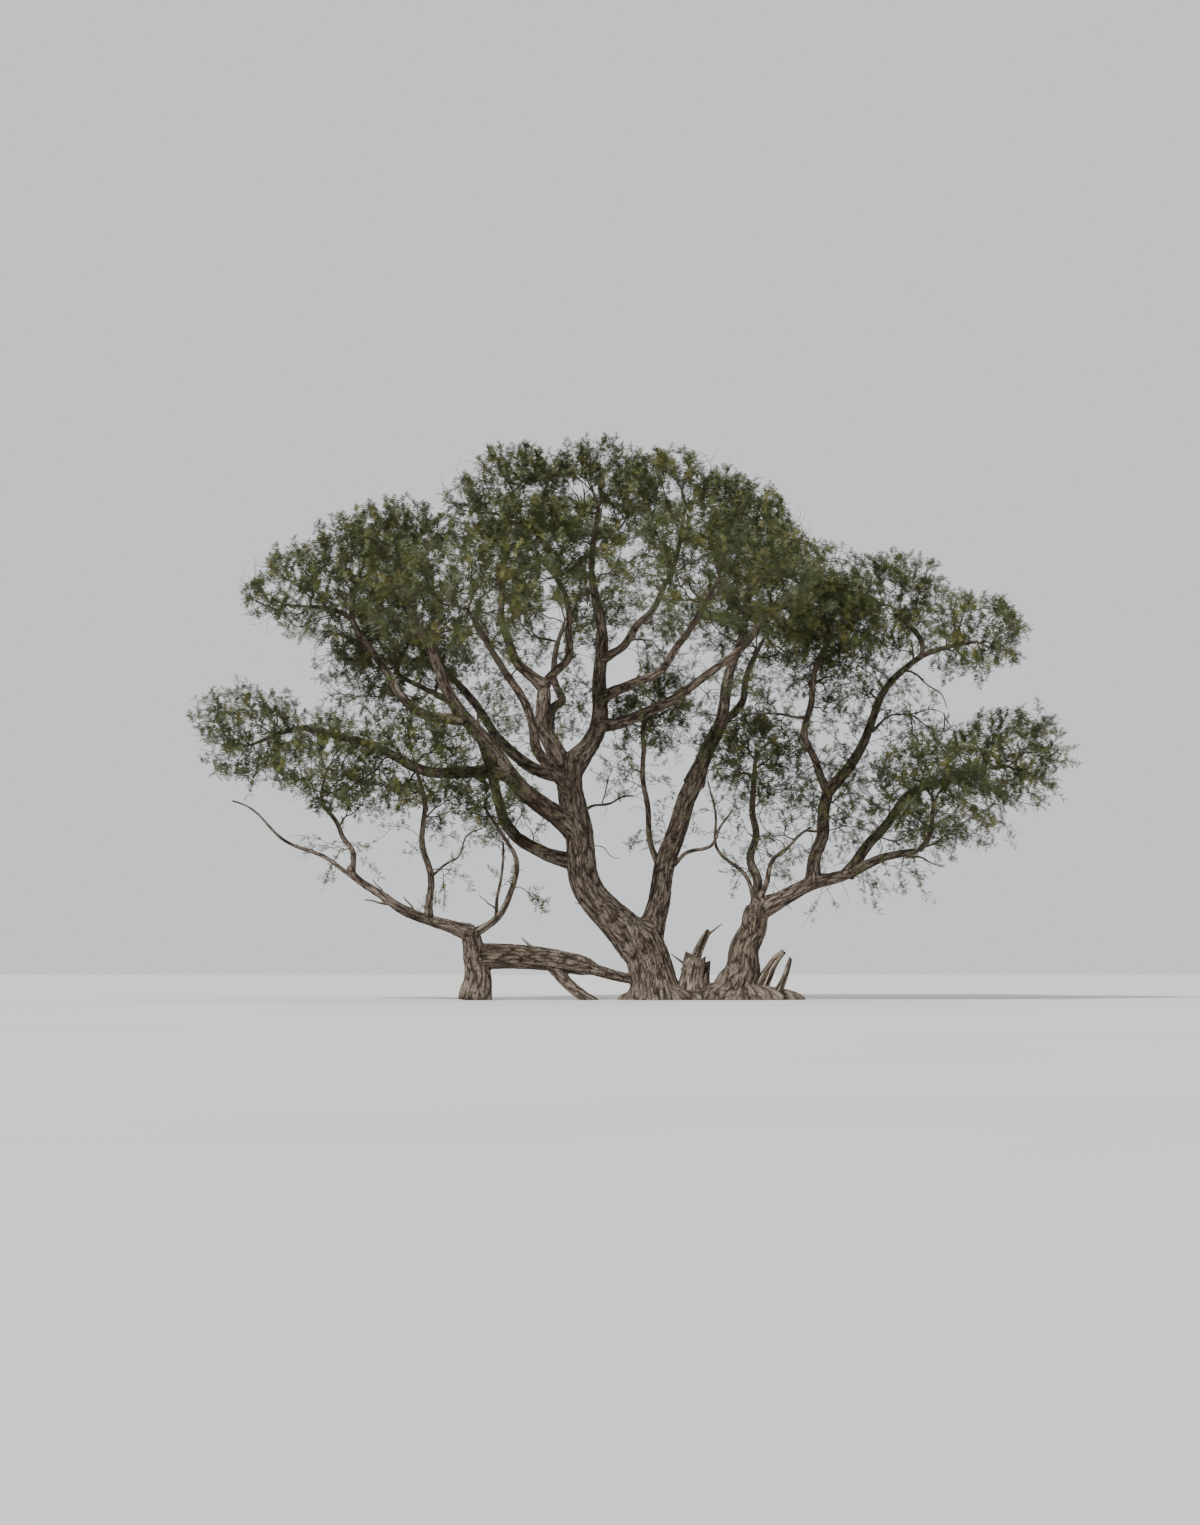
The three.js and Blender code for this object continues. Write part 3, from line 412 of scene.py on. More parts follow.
class Finish:
    """A material made of nodes, whose patterns are read at the Object coordinates."""

    def __init__(self, name, roughness):
        self.material = bpy.data.materials.new(name)
        self.material.use_nodes = True
        self.tree = self.material.node_tree
        self.shader = self.tree.nodes["Principled BSDF"]
        self.feed(self.shader, {"Roughness": roughness, "Specular IOR Level": SHEEN})
        self.place = self.tree.nodes.new("ShaderNodeTexCoord").outputs["Object"]

    def feed(self, node, sockets):
        """Sets each socket to a number, or links it to another node's output."""
        for name, value in sockets.items():
            if isinstance(value, (int, float)):
                node.inputs[name].default_value = value
            else:
                self.tree.links.new(value, node.inputs[name])

    def attribute(self, name):
        node = self.tree.nodes.new("ShaderNodeAttribute")
        node.attribute_name = name
        return node

    def cloudy(self, scale, detail=4):
        texture = self.tree.nodes.new("ShaderNodeTexNoise")
        self.feed(texture, {"Scale": scale, "Detail": detail, "Vector": self.place})
        return texture.outputs["Fac"]

    def ramp(self, value, stops):
        colours = self.tree.nodes.new("ShaderNodeValToRGB")
        elements = colours.color_ramp.elements
        while len(elements) < len(stops):
            elements.new(0.5)
        for element, (position, colour) in zip(elements, stops):
            element.position = position
            element.color = (*colour, 1)
        self.feed(colours, {"Fac": value})
        return colours.outputs["Color"]

    def mixed(self, share, first, second, blend="MIX"):
        mix = self.tree.nodes.new("ShaderNodeMix")
        mix.data_type = "RGBA"
        mix.blend_type = blend
        self.feed(mix, {"Factor": share, "A": first, "B": second})
        return mix.outputs["Result"]

    def bump(self, height, distance):
        relief = self.tree.nodes.new("ShaderNodeBump")
        self.feed(relief, {"Distance": distance, "Height": height})
        self.feed(self.shader, {"Normal": relief.outputs["Normal"]})

    def coloured(self, colour):
        self.feed(self.shader, {"Base Color": colour})
        return self.material


# %% Bark, and wood that has lost its bark
BARK_COLOURS = ((0, (0.018, 0.013, 0.01)), (0.35, (0.048, 0.037, 0.029)), (0.75, (0.118, 0.097, 0.079)),
                (1, (0.195, 0.167, 0.14)))
DEADWOOD_COLOURS = ((0.1, (0.035, 0.026, 0.019)), (0.5, (0.14, 0.115, 0.092)), (0.9, (0.3, 0.262, 0.22)))
PATCHES = ((0.3, (0.78, 0.69, 0.61)), (0.7, (1.15, 1.12, 1.08)))
PATCH_SCALE = 1.7
CRACK_SHADES = ((0, (0.32, 0.29, 0.27)), (0.13, (1, 1, 1)))
CRACK = Sizes(wander=0.03, wander_scale=9, share=0.6, depth=0.012)
GRAIN_SQUEEZE = 4.5


def cracks(finish, scale):
    """Dark where a crack runs between two plates of bark."""
    wander = finish.tree.nodes.new("ShaderNodeTexNoise")
    finish.feed(wander, {"Scale": CRACK.wander_scale, "Vector": finish.place})
    plates = finish.tree.nodes.new("ShaderNodeTexVoronoi")
    plates.feature = "DISTANCE_TO_EDGE"
    grain = finish.mixed(CRACK.wander, finish.attribute("grain").outputs["Vector"], wander.outputs["Color"])
    finish.feed(plates, {"Scale": scale, "Vector": grain})
    return finish.ramp(plates.outputs["Distance"], CRACK_SHADES)


def wood_finish(name, colours, plate_scale, rough_scale):
    finish = Finish(name, 0.92)
    base = finish.ramp(finish.attribute("relief").outputs["Fac"], colours)
    broad = finish.ramp(finish.cloudy(PATCH_SCALE), PATCHES)
    cracked = cracks(finish, plate_scale)
    finish.bump(finish.mixed(CRACK.share, finish.cloudy(rough_scale, 6), cracked), CRACK.depth)
    patched = finish.mixed(1, base, broad, "MULTIPLY")
    return finish.coloured(finish.mixed(1, patched, cracked, "MULTIPLY"))


bark_finish = wood_finish("bark", BARK_COLOURS, 26, 55)
deadwood_finish = wood_finish("deadwood", DEADWOOD_COLOURS, 42, 40)
print("finishes", [material.name for material in (bark_finish, deadwood_finish)])

# %% [markdown]
# The bark of this tree splits into long ridges that part and meet again. Noise that is read round and
# along the limb gives them: its zero lines become the furrows, and because the reading place runs round
# a circle, the pattern closes without a seam.

# %% How high the bark stands
RIDGE = Sizes(width=0.055, length=0.3, sharp=3.4, power=0.6, wander=0.7, slow=(0.5, 0.8))
CROSS_CRACK = Sizes(length=0.09, squeeze=0.8, sharp=7, share=0.2)


def bark_height(along, angle, radius, shift):
    """From 0 in a furrow to 1 on a ridge."""
    around = radius / RIDGE.width
    x, y = math.cos(angle) * around, math.sin(angle) * around
    z = along / RIDGE.length + shift
    slow, slow_along = RIDGE.slow
    wander = noise.noise((x * slow, y * slow, z * slow_along)) * RIDGE.wander
    ridge = min(1, abs(noise.noise((x + wander, y - wander, z))) * RIDGE.sharp) ** RIDGE.power
    squeeze = CROSS_CRACK.squeeze
    spot = (x * squeeze, y * squeeze, along / CROSS_CRACK.length + shift)
    crack = min(1, abs(noise.noise(spot)) * CROSS_CRACK.sharp)
    return ridge * (1 - CROSS_CRACK.share + CROSS_CRACK.share * crack)


# %% [markdown]
# The old wood is one growing body, so its forks are webbed and smooth. Separate columns would meet in
# hard creases. A voxel remesh turns the overlapping columns into one skin, a little smoothing rounds the
# crotches, and only then is the bark raised on it.

# %% The columns of the old wood
OLD_WOOD = ("leader", "centre_stem", "right_stem", "low_stem", "left_fork", "top_leader", "left_bough",
            "right_bough", "right_upright", "centre_rise")
RINGS = Sizes(trunk=(32, 0.06), limb=(20, 0.09), log=(20, 0.05))
VOXEL = 0.021
SMOOTHING = Sizes(rounds=3, factor=0.5)
COLLAR = Sizes(swell=0.3, reach=1.5, least=0.2)
ROOT_SWELL = 0.3
BROKEN = Sizes(left=0.4, worn=0.2, ragged=0.5, size=2.5)


def collared(line, parent_radius):
    """A limb is thicker where it leaves its parent or the ground, and its tip is rounded."""

    def radius_of(share, outwards):
        collar = COLLAR.swell * math.exp(-((share * line.length / (parent_radius * COLLAR.reach)) ** 2))
        left = min(1, (1 - share) * line.length / (line.girth[1] / 2))
        rounded = max(COLLAR.least, math.sqrt(1 - (1 - left) ** 2))
        return line.radius(share) * (1 + collar) * rounded

    return radius_of


def broken_off(line):
    """A log that broke off at its first end, and is worn to a ragged wedge there."""

    def radius_of(share, outwards):
        ragged = BROKEN.ragged * noise.noise(Vector(outwards) * BROKEN.size)
        return line.radius(share) * min(1, BROKEN.left + share / BROKEN.worn + ragged)

    return radius_of


def flared(share, outwards):
    height = share * TRUNK.tip[2]
    low = max(0, 1 - height / FLARE.height) ** 2
    lobed = 1 + FLARE.depth * math.cos(FLARE.lobes * math.atan2(-outwards[0], -outwards[1]))
    return lines["trunk"].radius(share) + low * FLARE.reach * lobed


def parent_radius(name):
    root = LIMBS[name].root
    return lines[root[0]].radius(root[1]) if on_a_limb(root) else ROOT_SWELL


def root_crown():
    bm = bmesh.new()
    bmesh.ops.create_uvsphere(bm, u_segments=40, v_segments=20, radius=1)
    bmesh.ops.scale(bm, vec=ROOT_CROWN.reach, verts=bm.verts)
    bmesh.ops.translate(bm, vec=ROOT_CROWN.centre, verts=bm.verts)
    return bm


fallen_lines = {name: sagging_line(*log) for name, log in FALLEN.items()}
old_columns = [column(lines["trunk"], *RINGS.trunk, flared), root_crown()]
for name in OLD_WOOD:
    old_columns.append(column(lines[name], *RINGS.limb, collared(lines[name], parent_radius(name))))
for name, line in fallen_lines.items():
    old_columns.append(column(line, *RINGS.log, broken_off(line) if name == "log" else None))
old_wood = gathered(old_columns)
print("columns", len(old_columns), "faces", len(old_wood.faces))


# %% One skin over the columns
def remeshed(bm):
    held = object_of("columns", mesh_of("columns", bm))
    skin = held.modifiers.new("skin", "REMESH")
    skin.mode = "VOXEL"
    skin.voxel_size = VOXEL
    bpy.context.view_layer.update()
    made = bmesh.new()
    made.from_object(held, bpy.context.evaluated_depsgraph_get())
    bpy.data.meshes.remove(held.data)
    return made


old_wood = remeshed(old_wood)
for _ in range(SMOOTHING.rounds):
    bmesh.ops.smooth_vert(old_wood, verts=old_wood.verts, factor=SMOOTHING.factor,
                          use_axis_x=True, use_axis_y=True, use_axis_z=True)
print("skin faces", len(old_wood.faces))

# %% [markdown]
# To raise bark on the skin, every vertex must know which limb it belongs to, how far along it is and at
# which angle round it. The nearest middle line, less that line's own radius, answers all three.

# %% The bark on the old wood
BARK = Sizes(depth=0.034, full_radius=0.4, thinning=0.75, level=0.6, on_rings=1.2)
OWNER_SHIFT = 9.7
BLOCK = 4000
AHEAD, ACROSS, OVER = slice(3, 6), slice(6, 9), slice(9, 12)
RADIUS, RUN, OWNER = 12, 13, 14


def line_samples(some_lines, gap=0.03):
    """Rows with a place on a line, its frame, the radius, the distance along and the line's number."""
    rows = []
    for index, line in enumerate(some_lines):
        shares = np.linspace(0, 1, max(4, round(line.length / gap)))
        middles = line.at(shares)
        run = shares * line.length
        rows.append(np.column_stack([middles, *carried_frames(middles), line.radius(shares), run,
                                     np.full(len(run), index)]))
    return np.vstack(rows)


def bark_layers(bm):
    return bm.verts.layers.float.new("relief"), bm.verts.layers.float_vector.new("grain")


def bark_depth(radius):
    return BARK.depth * (radius / BARK.full_radius) ** BARK.thinning


def grain_at(angle, radius, along, shift):
    """Where a place is round and along its limb, for the fine cracks."""
    return math.cos(angle) * radius, math.sin(angle) * radius, along / GRAIN_SQUEEZE + shift


def raise_bark(bm, samples):
    relief, grain = bark_layers(bm)
    places = np.array([vert.co for vert in bm.verts])
    bm.normal_update()
    bm.verts.ensure_lookup_table()
    for first in range(0, len(places), BLOCK):
        block = places[first:first + BLOCK]
        gap = np.linalg.norm(block[:, None, :] - samples[None, :, :3], axis=2) - samples[None, :, RADIUS]
        nearest = samples[np.argmin(gap, axis=1)]
        away = block - nearest[:, :3]
        ahead, across, over = (np.einsum("ij,ij->i", away, nearest[:, axis]) for axis in (AHEAD, ACROSS, OVER))
        along = nearest[:, RUN] + ahead
        angle = np.arctan2(over, across)
        for offset, row in enumerate(nearest):
            vert = bm.verts[first + offset]
            shift = row[OWNER] * OWNER_SHIFT
            height = bark_height(along[offset], angle[offset], row[RADIUS], shift)
            vert[relief] = height
            vert[grain] = grain_at(angle[offset], row[RADIUS], along[offset], shift)
            vert.co += vert.normal * (height - BARK.level) * bark_depth(row[RADIUS])


old_lines = [lines[name] for name in ("trunk", *OLD_WOOD)] + list(fallen_lines.values())
raise_bark(old_wood, line_samples(old_lines))


# %% The flat cut at the ground
def cut_at_ground(bm):
    geometry = bm.verts[:] + bm.edges[:] + bm.faces[:]
    cut = bmesh.ops.bisect_plane(bm, geom=geometry, plane_co=(0, 0, 0), plane_no=(0, 0, 1), clear_inner=True)
    rim = [edge for edge in cut["geom_cut"] if isinstance(edge, bmesh.types.BMEdge)]
    bmesh.ops.holes_fill(bm, edges=rim)


cut_at_ground(old_wood)
wooden_piece("old_wood", old_wood, bark_finish, ("trunk", "fallen_limb", *OLD_WOOD))

# %% [markdown]
# The slimmer boughs stay columns of their own. Each starts on its parent's middle line, deep in the old
# wood, with a collar that thickens its foot, and its bark is raised ring by ring.

# %% The slim boughs
RING_SIDES = ((0.15, 30), (0.1, 22), (0, 14))
RING_GAP = 0.035
BOUGH_SHIFT = Sizes(letter=3.3, girth=70)


def seat_of(place, samples):
    """The nearest row of a line's samples, and the angle round the line."""
    nearest = samples[np.argmin(np.linalg.norm(samples[:, :3] - place, axis=1))]
    away = np.array(place) - nearest[:3]
    return nearest, math.atan2(away @ nearest[OVER], away @ nearest[ACROSS])


def raised_rings(bm, line, shift):
    """Bark on the rings of one column."""
    relief, grain = bark_layers(bm)
    samples = line_samples([line])
    bm.normal_update()
    for vert in bm.verts:
        nearest, angle = seat_of(vert.co, samples)
        height = bark_height(nearest[RUN], angle, nearest[RADIUS], shift)
        vert[relief] = height
        vert[grain] = grain_at(angle, nearest[RADIUS], nearest[RUN], shift)
        vert.co += vert.normal * (height - BARK.level) * bark_depth(nearest[RADIUS]) * BARK.on_rings


for name in LIMBS:
    if name in OLD_WOOD:
        continue
    girth = LIMBS[name].girth[0]
    sides = next(count for least, count in RING_SIDES if girth >= least)
    bough = column(lines[name], sides, RING_GAP, collared(lines[name], parent_radius(name)))
    raised_rings(bough, lines[name], len(name) * BOUGH_SHIFT.letter + girth * BOUGH_SHIFT.girth)
    wooden_piece(f"{name}_bark", bough, bark_finish, (name,))

# %% [markdown]
# Wood that broke long ago has no bark. It dries into long grey fibres, and it doesn't end in a smooth
# point but in a torn one. Each snag is a column whose skin is drawn into fibres, and its last rings are
# pulled back by different amounts.

# %% The stump and the splinters
FIBRE = Sizes(width=0.03, length=0.4, depth=0.022, full_radius=0.1, step=0.014, sides=(12, 96), shift=5.3)
TEAR = Sizes(reach=0.3, worn=0.42, size=0.5, full_radius=0.15)
SNAG_GAP = Sizes(rings=0.025, samples=0.02)


def snag(log, shift):
    line = sagging_line(*log)
    least, most = FIBRE.sides
    sides = min(most, max(least, round(math.pi * log.girth[0] / FIBRE.step)))
    bm = column(line, sides, SNAG_GAP.rings)
    relief, grain = bark_layers(bm)
    samples = line_samples([line], SNAG_GAP.samples)
    bm.normal_update()
    for vert in bm.verts:
        nearest, angle = seat_of(vert.co, samples)
        radius, along = nearest[RADIUS], nearest[RUN]
        around = radius / FIBRE.width
        spot = (math.cos(angle) * around + shift, math.sin(angle) * around, along / FIBRE.length)
        height = 0.5 + noise.noise(spot)
        rag = noise.noise((spot[0] * TEAR.size, spot[1] * TEAR.size, shift)) - TEAR.worn
        tear = rag * TEAR.reach * (along / line.length) ** 3 * radius / TEAR.full_radius
        vert[relief] = height
        vert[grain] = grain_at(angle, radius, along / 2, shift)
        depth = FIBRE.depth * min(1, radius / FIBRE.full_radius)
        vert.co += vert.normal * (height - BARK.level) * depth + Vector(nearest[AHEAD]) * tear
    return bm


snags = gathered([snag(log, FIBRE.shift * index) for index, log in enumerate(SNAGS.values())])
cut_at_ground(snags)
wooden_piece("broken_stump_and_splinters", snags, deadwood_finish, ("trunk", "fallen_limb"))

# %% The slender limbs and the dead twigs
SLENDER_RINGS = (8, 0.03)
SLENDER_SHIFT = 7.7
SLENDER_NODES = ("centre_hang_mass", "right_inner_mass", "low_crook_mass", "right_low_mass")

slender = []
for index, name in enumerate(SLENDER):
    limb = column(lines[name], *SLENDER_RINGS, collared(lines[name], lines[name].girth[0]))
    raised_rings(limb, lines[name], SLENDER_SHIFT * index)
    slender.append(limb)
wooden_piece("slender_limbs", gathered(slender), bark_finish, SLENDER_NODES)

# %% [markdown]
# Every mass is fed by a stem that carries a limb on into it, and keeps to its own side of the planes halfway
# to its neighbours. The same rule as in the solids decides where twigs may go, but it is followed further,
# to twigs a few millimetres thick.

# %% The stem and the space of a mass
MASS_SPACE = 0.015
STEM = Sizes(sunk=0.4, leave=0.35, arrive=0.3, drop=0.15, girth=0.06)
EVEN_STEPS = (0.7548776662, 0.569840291)

mass_names = list(MASSES)
mass_middles = np.array([mass.middle for mass in MASSES.values()])
mass_reaches = np.array([mass.reach for mass in MASSES.values()])


def stem_line(mass):
    limb = lines[mass.source]
    tip = limb.at(1)[0]
    ahead = unit(tip - limb.at(0.99)[0])
    end = np.array(mass.middle) - (0, 0, STEM.drop * mass.reach[2])
    towards = unit(end - tip)
    span = np.linalg.norm(end - tip)
    corners = (tip - ahead * STEM.sunk * limb.girth[1], tip + unit(ahead + towards) * STEM.leave * span,
               end - towards * STEM.arrive * span, end)
    return WoodLine(lambda t: bezier(corners, t), (limb.girth[1], STEM.girth))


def on_own_side(index, points):
    kept = np.ones(len(points), bool)
    for other, middle in enumerate(mass_middles):
        if other != index:
            apart = middle - mass_middles[index]
            gap = np.linalg.norm(apart)
            means = mass_reaches[index].mean(), mass_reaches[other].mean()
            share = means[0] / sum(means) * gap
            kept &= (points - mass_middles[index]) @ apart / gap <= share - MASS_SPACE
    return kept


def even_directions(count, turn):
    index = np.arange(count)
    z = 1 - 2 * ((0.5 + index * EVEN_STEPS[0]) % 1)
    angle = (index * EVEN_STEPS[1] + turn) * math.tau
    radius = np.sqrt(1 - z * z)
    return np.column_stack([radius * np.cos(angle), radius * np.sin(angle), z])


# %% [markdown]
# An umbrella crown holds its leaves up to the light: its top is dense, and under it the twigs are bare and
# let the sky through. So twigs aim for places near the skin of the space, and more of them near its top.
# Low masses are thinner than high ones and hang a little. The wood between the masses counts as inner.

# %% How full each part of the crown is
TWIG_RADIUS = 0.0032
Fullness = namedtuple("Fullness", "twigs under leafy lift tufts tip bare_foot", defaults=(1, TWIG_RADIUS, 0))
FULLNESS = dict(
    left=Fullness(140, 0.6, 0.95, 0.08),
    low_left=Fullness(130, 0.9, 0.82, -0.06),
    top=Fullness(160, 0.7, 0.96, 0.12),
    right=Fullness(140, 0.8, 0.9, 0.03),
    deep=Fullness(125, 0.6, 0.92, 0.08),
)
INNER = Fullness(0, 0, 0.8, -0.12, tufts=0.72, tip=0.0045, bare_foot=0.24)
SHELL = Sizes(inner=0.32, power=0.55, uneven=0.1, ripple=1.6, margin=0.2, tries=3)


def twig_places(index, mass, fullness, draw):
    """Where the twigs of a mass aim, from the wood outwards."""
    middle, reach = np.array(mass.middle), np.array(mass.reach)
    places = []
    count = round(fullness.twigs * mass.dense)
    for out in even_directions(count * SHELL.tries, draw()):
        depth = between((SHELL.inner, 1), draw() ** SHELL.power)
        depth *= 1 - SHELL.margin / np.linalg.norm(out * reach)
        depth *= 1 + SHELL.uneven * noise.noise(Vector(out * SHELL.ripple + middle))
        if out[2] < 0 and draw() > fullness.under:
            continue
        places.append(middle + out * reach * depth)
    places = np.array(places)
    return places[on_own_side(index, places)][:count]


# %% [markdown]
# Seen from the front, the crown's top rises and falls in lobes. The line of its top is written down as
# heights across the tree, and no leafy shoot may rise above it or leave the size of the construction. A
# sky window is an oval that stays open. A place in front of the trunk looks higher than it is and one behind
# it lower, so places are first carried to the plane of the trunk, along the line of sight.

# %% The line of the crown's top
CROWN_TOP = ((-7.6, 5.3), (-6.9, 5.6), (-6.75, 6.5), (-6.45, 6.8), (-6.05, 7.35), (-5.36, 7.84), (-4.64, 8.2),
             (-3.92, 8.16), (-3.6, 7.92), (-3.2, 8.32), (-2.53, 9.04), (-1.84, 8.96), (-1.12, 9.15),
             (-0.24, 9.04), (0.56, 8.8), (0.8, 8.48), (1.44, 8.56), (2, 8.16), (2.24, 7.68), (2.56, 7.36),
             (3.76, 7.31), (4.64, 7.04), (4.96, 6.64), (5.68, 6.48), (6.08, 5.92), (6.9, 4.5))
SKY_WINDOWS = ((-1.18, 8.24, 0.3, 0.2), (-1.68, 5.5, 0.13, 0.9), (-0.56, 5.3, 0.3, 0.45),
               (-5.9, 5.5, 0.4, 0.3), (-6.6, 5.75, 0.7, 0.45), (5.75, 5, 0.5, 0.3), (4.9, 4.85, 0.3, 0.2),
               (-1.76, 6.72, 0.15, 0.28), (-1.62, 6.2, 0.2, 0.22))
EYE = (-0.88, -47.44, 0.51)
CROWN_EDGE = Sizes(proud=0.12, uneven=0.14, ripple=2.3)


def within_crown(point):
    nearer = EYE[1] / (EYE[1] - point[1])
    seen_x = EYE[0] + (point[0] - EYE[0]) * nearer
    seen_z = EYE[2] + (point[2] - EYE[2]) * nearer
    ripple = CROWN_EDGE.ripple
    uneven = CROWN_EDGE.uneven * noise.noise((seen_x * ripple, seen_z * ripple, 0))
    if seen_z > np.interp(seen_x, *zip(*CROWN_TOP)) + uneven:
        return False
    if any(((seen_x - x) / wide) ** 2 + ((seen_z - z) / high) ** 2 < 1 for x, z, wide, high in SKY_WINDOWS):
        return False
    proud = CROWN_EDGE.proud
    return all(low - proud < place < high + proud for place, low, high in zip(point, *cad_box))


# %% [markdown]
# A twig forks off the nearest wood that is already there. Nearness counts the way back to the stem too, or
# else long thin chains would win over short forks, and a twig that would have to turn sharply back costs
# more. The nearest places are served first, so branches form before the twigs that need them.

# %% The growth rule
GROWTH = Sizes(path=0.35, turn=0.5, step=0.11, zigzag=0.04, follow=0.7, bend=0.45, stem_step=0.14)
PIPE_POWER = 0.45


class Wood:
    """The growing wood of one mass: places joined to earlier ones."""

    def __init__(self, stems):
        self.places, self.headings, self.before, self.paths, self.chains = [], [], [], [], []
        for line, first_share in stems:
            shares = np.linspace(first_share, 1, max(5, round(line.length / GROWTH.stem_step)))
            places = line.at(shares)
            first = len(self.places)
            self.places += list(places)
            self.headings += list(unit(np.gradient(places, axis=0)))
            self.before += [-1] + list(range(first, first + len(shares) - 1))
            self.paths += [0.0] * len(shares)
        self.stem = list(range(len(self.places)))

    def fork_to(self, place, lift, draw):
        places, headings = np.array(self.places), np.array(self.headings)
        away = place - places
        span = np.linalg.norm(away, axis=1)
        straight = np.einsum("ij,ij->i", away, headings) / np.maximum(span, 1e-6)
        cost = span * (1 + GROWTH.turn * (1 - straight)) + GROWTH.path * np.array(self.paths)
        nearest = int(np.argmin(cost))
        start, heading, length = places[nearest], headings[nearest], span[nearest]
        bend = start + unit(heading * GROWTH.follow + unit(place - start)) * length * GROWTH.bend
        steps = max(2, math.ceil(length / GROWTH.step))
        t = np.linspace(0, 1, steps + 1)[1:, None]
        points = bezier((start, bend - (0, 0, lift * length), place), t)
        points[:-1] += np.array([three(draw) - 0.5 for _ in range(steps - 1)]) * GROWTH.zigzag
        chain = [nearest]
        for point in points:
            last = chain[-1]
            gone = point - self.places[last]
            self.places.append(point)
            self.headings.append(unit(gone))
            self.before.append(last)
            self.paths.append(self.paths[last] + np.linalg.norm(gone))
            chain.append(len(self.places) - 1)
        self.chains.append(chain)

    def radii(self, tip_radius, root_radius=None):
        """The pipe rule: wood is as thick as the twigs it feeds need, from the tips down to the stem."""
        feeds = np.zeros(len(self.places))
        for chain in self.chains:
            feeds[chain[-1]] += 1
        for index in range(len(feeds) - 1, 0, -1):
            if self.before[index] >= 0:
                feeds[self.before[index]] += feeds[index]
        power = PIPE_POWER
        if root_radius:
            power = math.log(root_radius / tip_radius) / math.log(max(2, feeds[0]))
        return tip_radius * np.maximum(feeds, 1) ** power


# %% [markdown]
# A shoot is the last hand's breadth or two of a twig, and carries the leaves. On this kind of tree it
# zigzags from one pair of thorns to the next, and the leaves stand in tufts at the bends. Shoots turn
# outwards and up to the light, or hang where the mass is low.

# %% Where shoots and leaves stand
SHOOT = Sizes(length=(0.12, 0.28), joint=0.027, zigzag=0.01, spread=(0.25, 0.85), most=4, along=0.7, out=0.5,
             lift=4)


def shoots_of(wood, fullness, middle, reach, draw):
    """Each shoot's foot, direction and length, from the end of each twig and its sides."""
    made = []
    at_tip, at_side = SHOOT.spread
    for chain in wood.chains:
        sides = [(index, at_side) for index in chain[-2:0:-1]]
        for index, spread in [(chain[-1], at_tip)] + sides[:SHOOT.most]:
            if wood.paths[index] < fullness.bare_foot:
                continue
            foot = wood.places[index]
            outwards = unit((foot - middle) / reach)
            loose = unit(three(draw) - 0.5)
            heading = unit(wood.headings[index] * SHOOT.along + outwards * SHOOT.out + loose * spread
                           + (0, 0, SHOOT.lift * fullness.lift * draw()))
            length = between(SHOOT.length, draw())
            bare = 1 if foot[2] > middle[2] else fullness.leafy
            leafy = draw() < bare * fullness.leafy
            if within_crown(foot + heading * length):
                made.append((foot, heading, length, leafy))
    return made


def shoot_path(foot, heading, length, draw):
    """The bends of a zigzag shoot."""
    side = unit(np.cross(heading, three(draw) - 0.5))
    steps = max(3, round(length / SHOOT.joint))
    sign = np.where(np.arange(steps + 1) % 2, 1, -1)[:, None] * SHOOT.zigzag
    sign[0] = 0
    return foot + heading * np.linspace(0, length, steps + 1)[:, None] + side * sign, side


# %% [markdown]
# The compound leaf has a thin stalk and pairs of leaflet-bearing fingers. Each finger is a slim triangle whose
# short side lies along the stalk, which keeps the leaf's feathery outline in very few faces. It is drawn
# once, a unit long, and then copied onto every place by arrays, because there are over a hundred thousand.

# %% One leaf
FINGERS = ((0.17, 76, 0.5), (0.46, 66, 0.56), (0.75, 52, 0.5))
FINGER = Sizes(width=0.19, rise=0.14)
END_FINGER = ((0.74, -0.085, 0), (1.26, 0, -0.03), (0.74, 0.085, 0))
LEAF_DROOP = 0.12


def leaf_shape():
    corners = list(END_FINGER)
    for along, spread, length in FINGERS:
        for side in (1, -1):
            angle = math.radians(spread)
            tip = (along + math.cos(angle) * length, math.sin(angle) * length * side, FINGER.rise * length)
            near, far = (along - FINGER.width / 2, 0, 0), (along + FINGER.width / 2, 0, 0)
            corners += [near, far, tip] if side > 0 else [far, near, tip]
    corners = np.array(corners, float)
    corners[:, 2] -= LEAF_DROOP * corners[:, 0] ** 2
    return corners, np.arange(len(corners)).reshape(-1, 3)


leaf_corners, leaf_faces = leaf_shape()
print("faces in a leaf", len(leaf_faces))


def placed_leaves(feet, headings, ups, lengths):
    """Copies of the leaf with their stalks at the feet."""
    across = unit(np.cross(ups, headings))
    axes = (headings, across, np.cross(headings, across))
    turned = sum(leaf_corners[None, :, i:i + 1] * axis[:, None, :] for i, axis in enumerate(axes))
    corners = feet[:, None, :] + turned * lengths[:, None, None]
    faces = leaf_faces[None] + (np.arange(len(feet)) * len(leaf_corners))[:, None, None]
    return corners.reshape(-1, 3), faces.reshape(-1, 3)


# %% [markdown]
# Twigs are tubes with as many sides as their thickness deserves. Three are enough for a twig a few
# millimetres thick. Every tube is closed at its ends, and its foot is sunk into the wood it forks from.

# %% Tubes as arrays
TWIG_SIDES = ((0.04, 8), (0.018, 6), (0.009, 4), (0, 3))


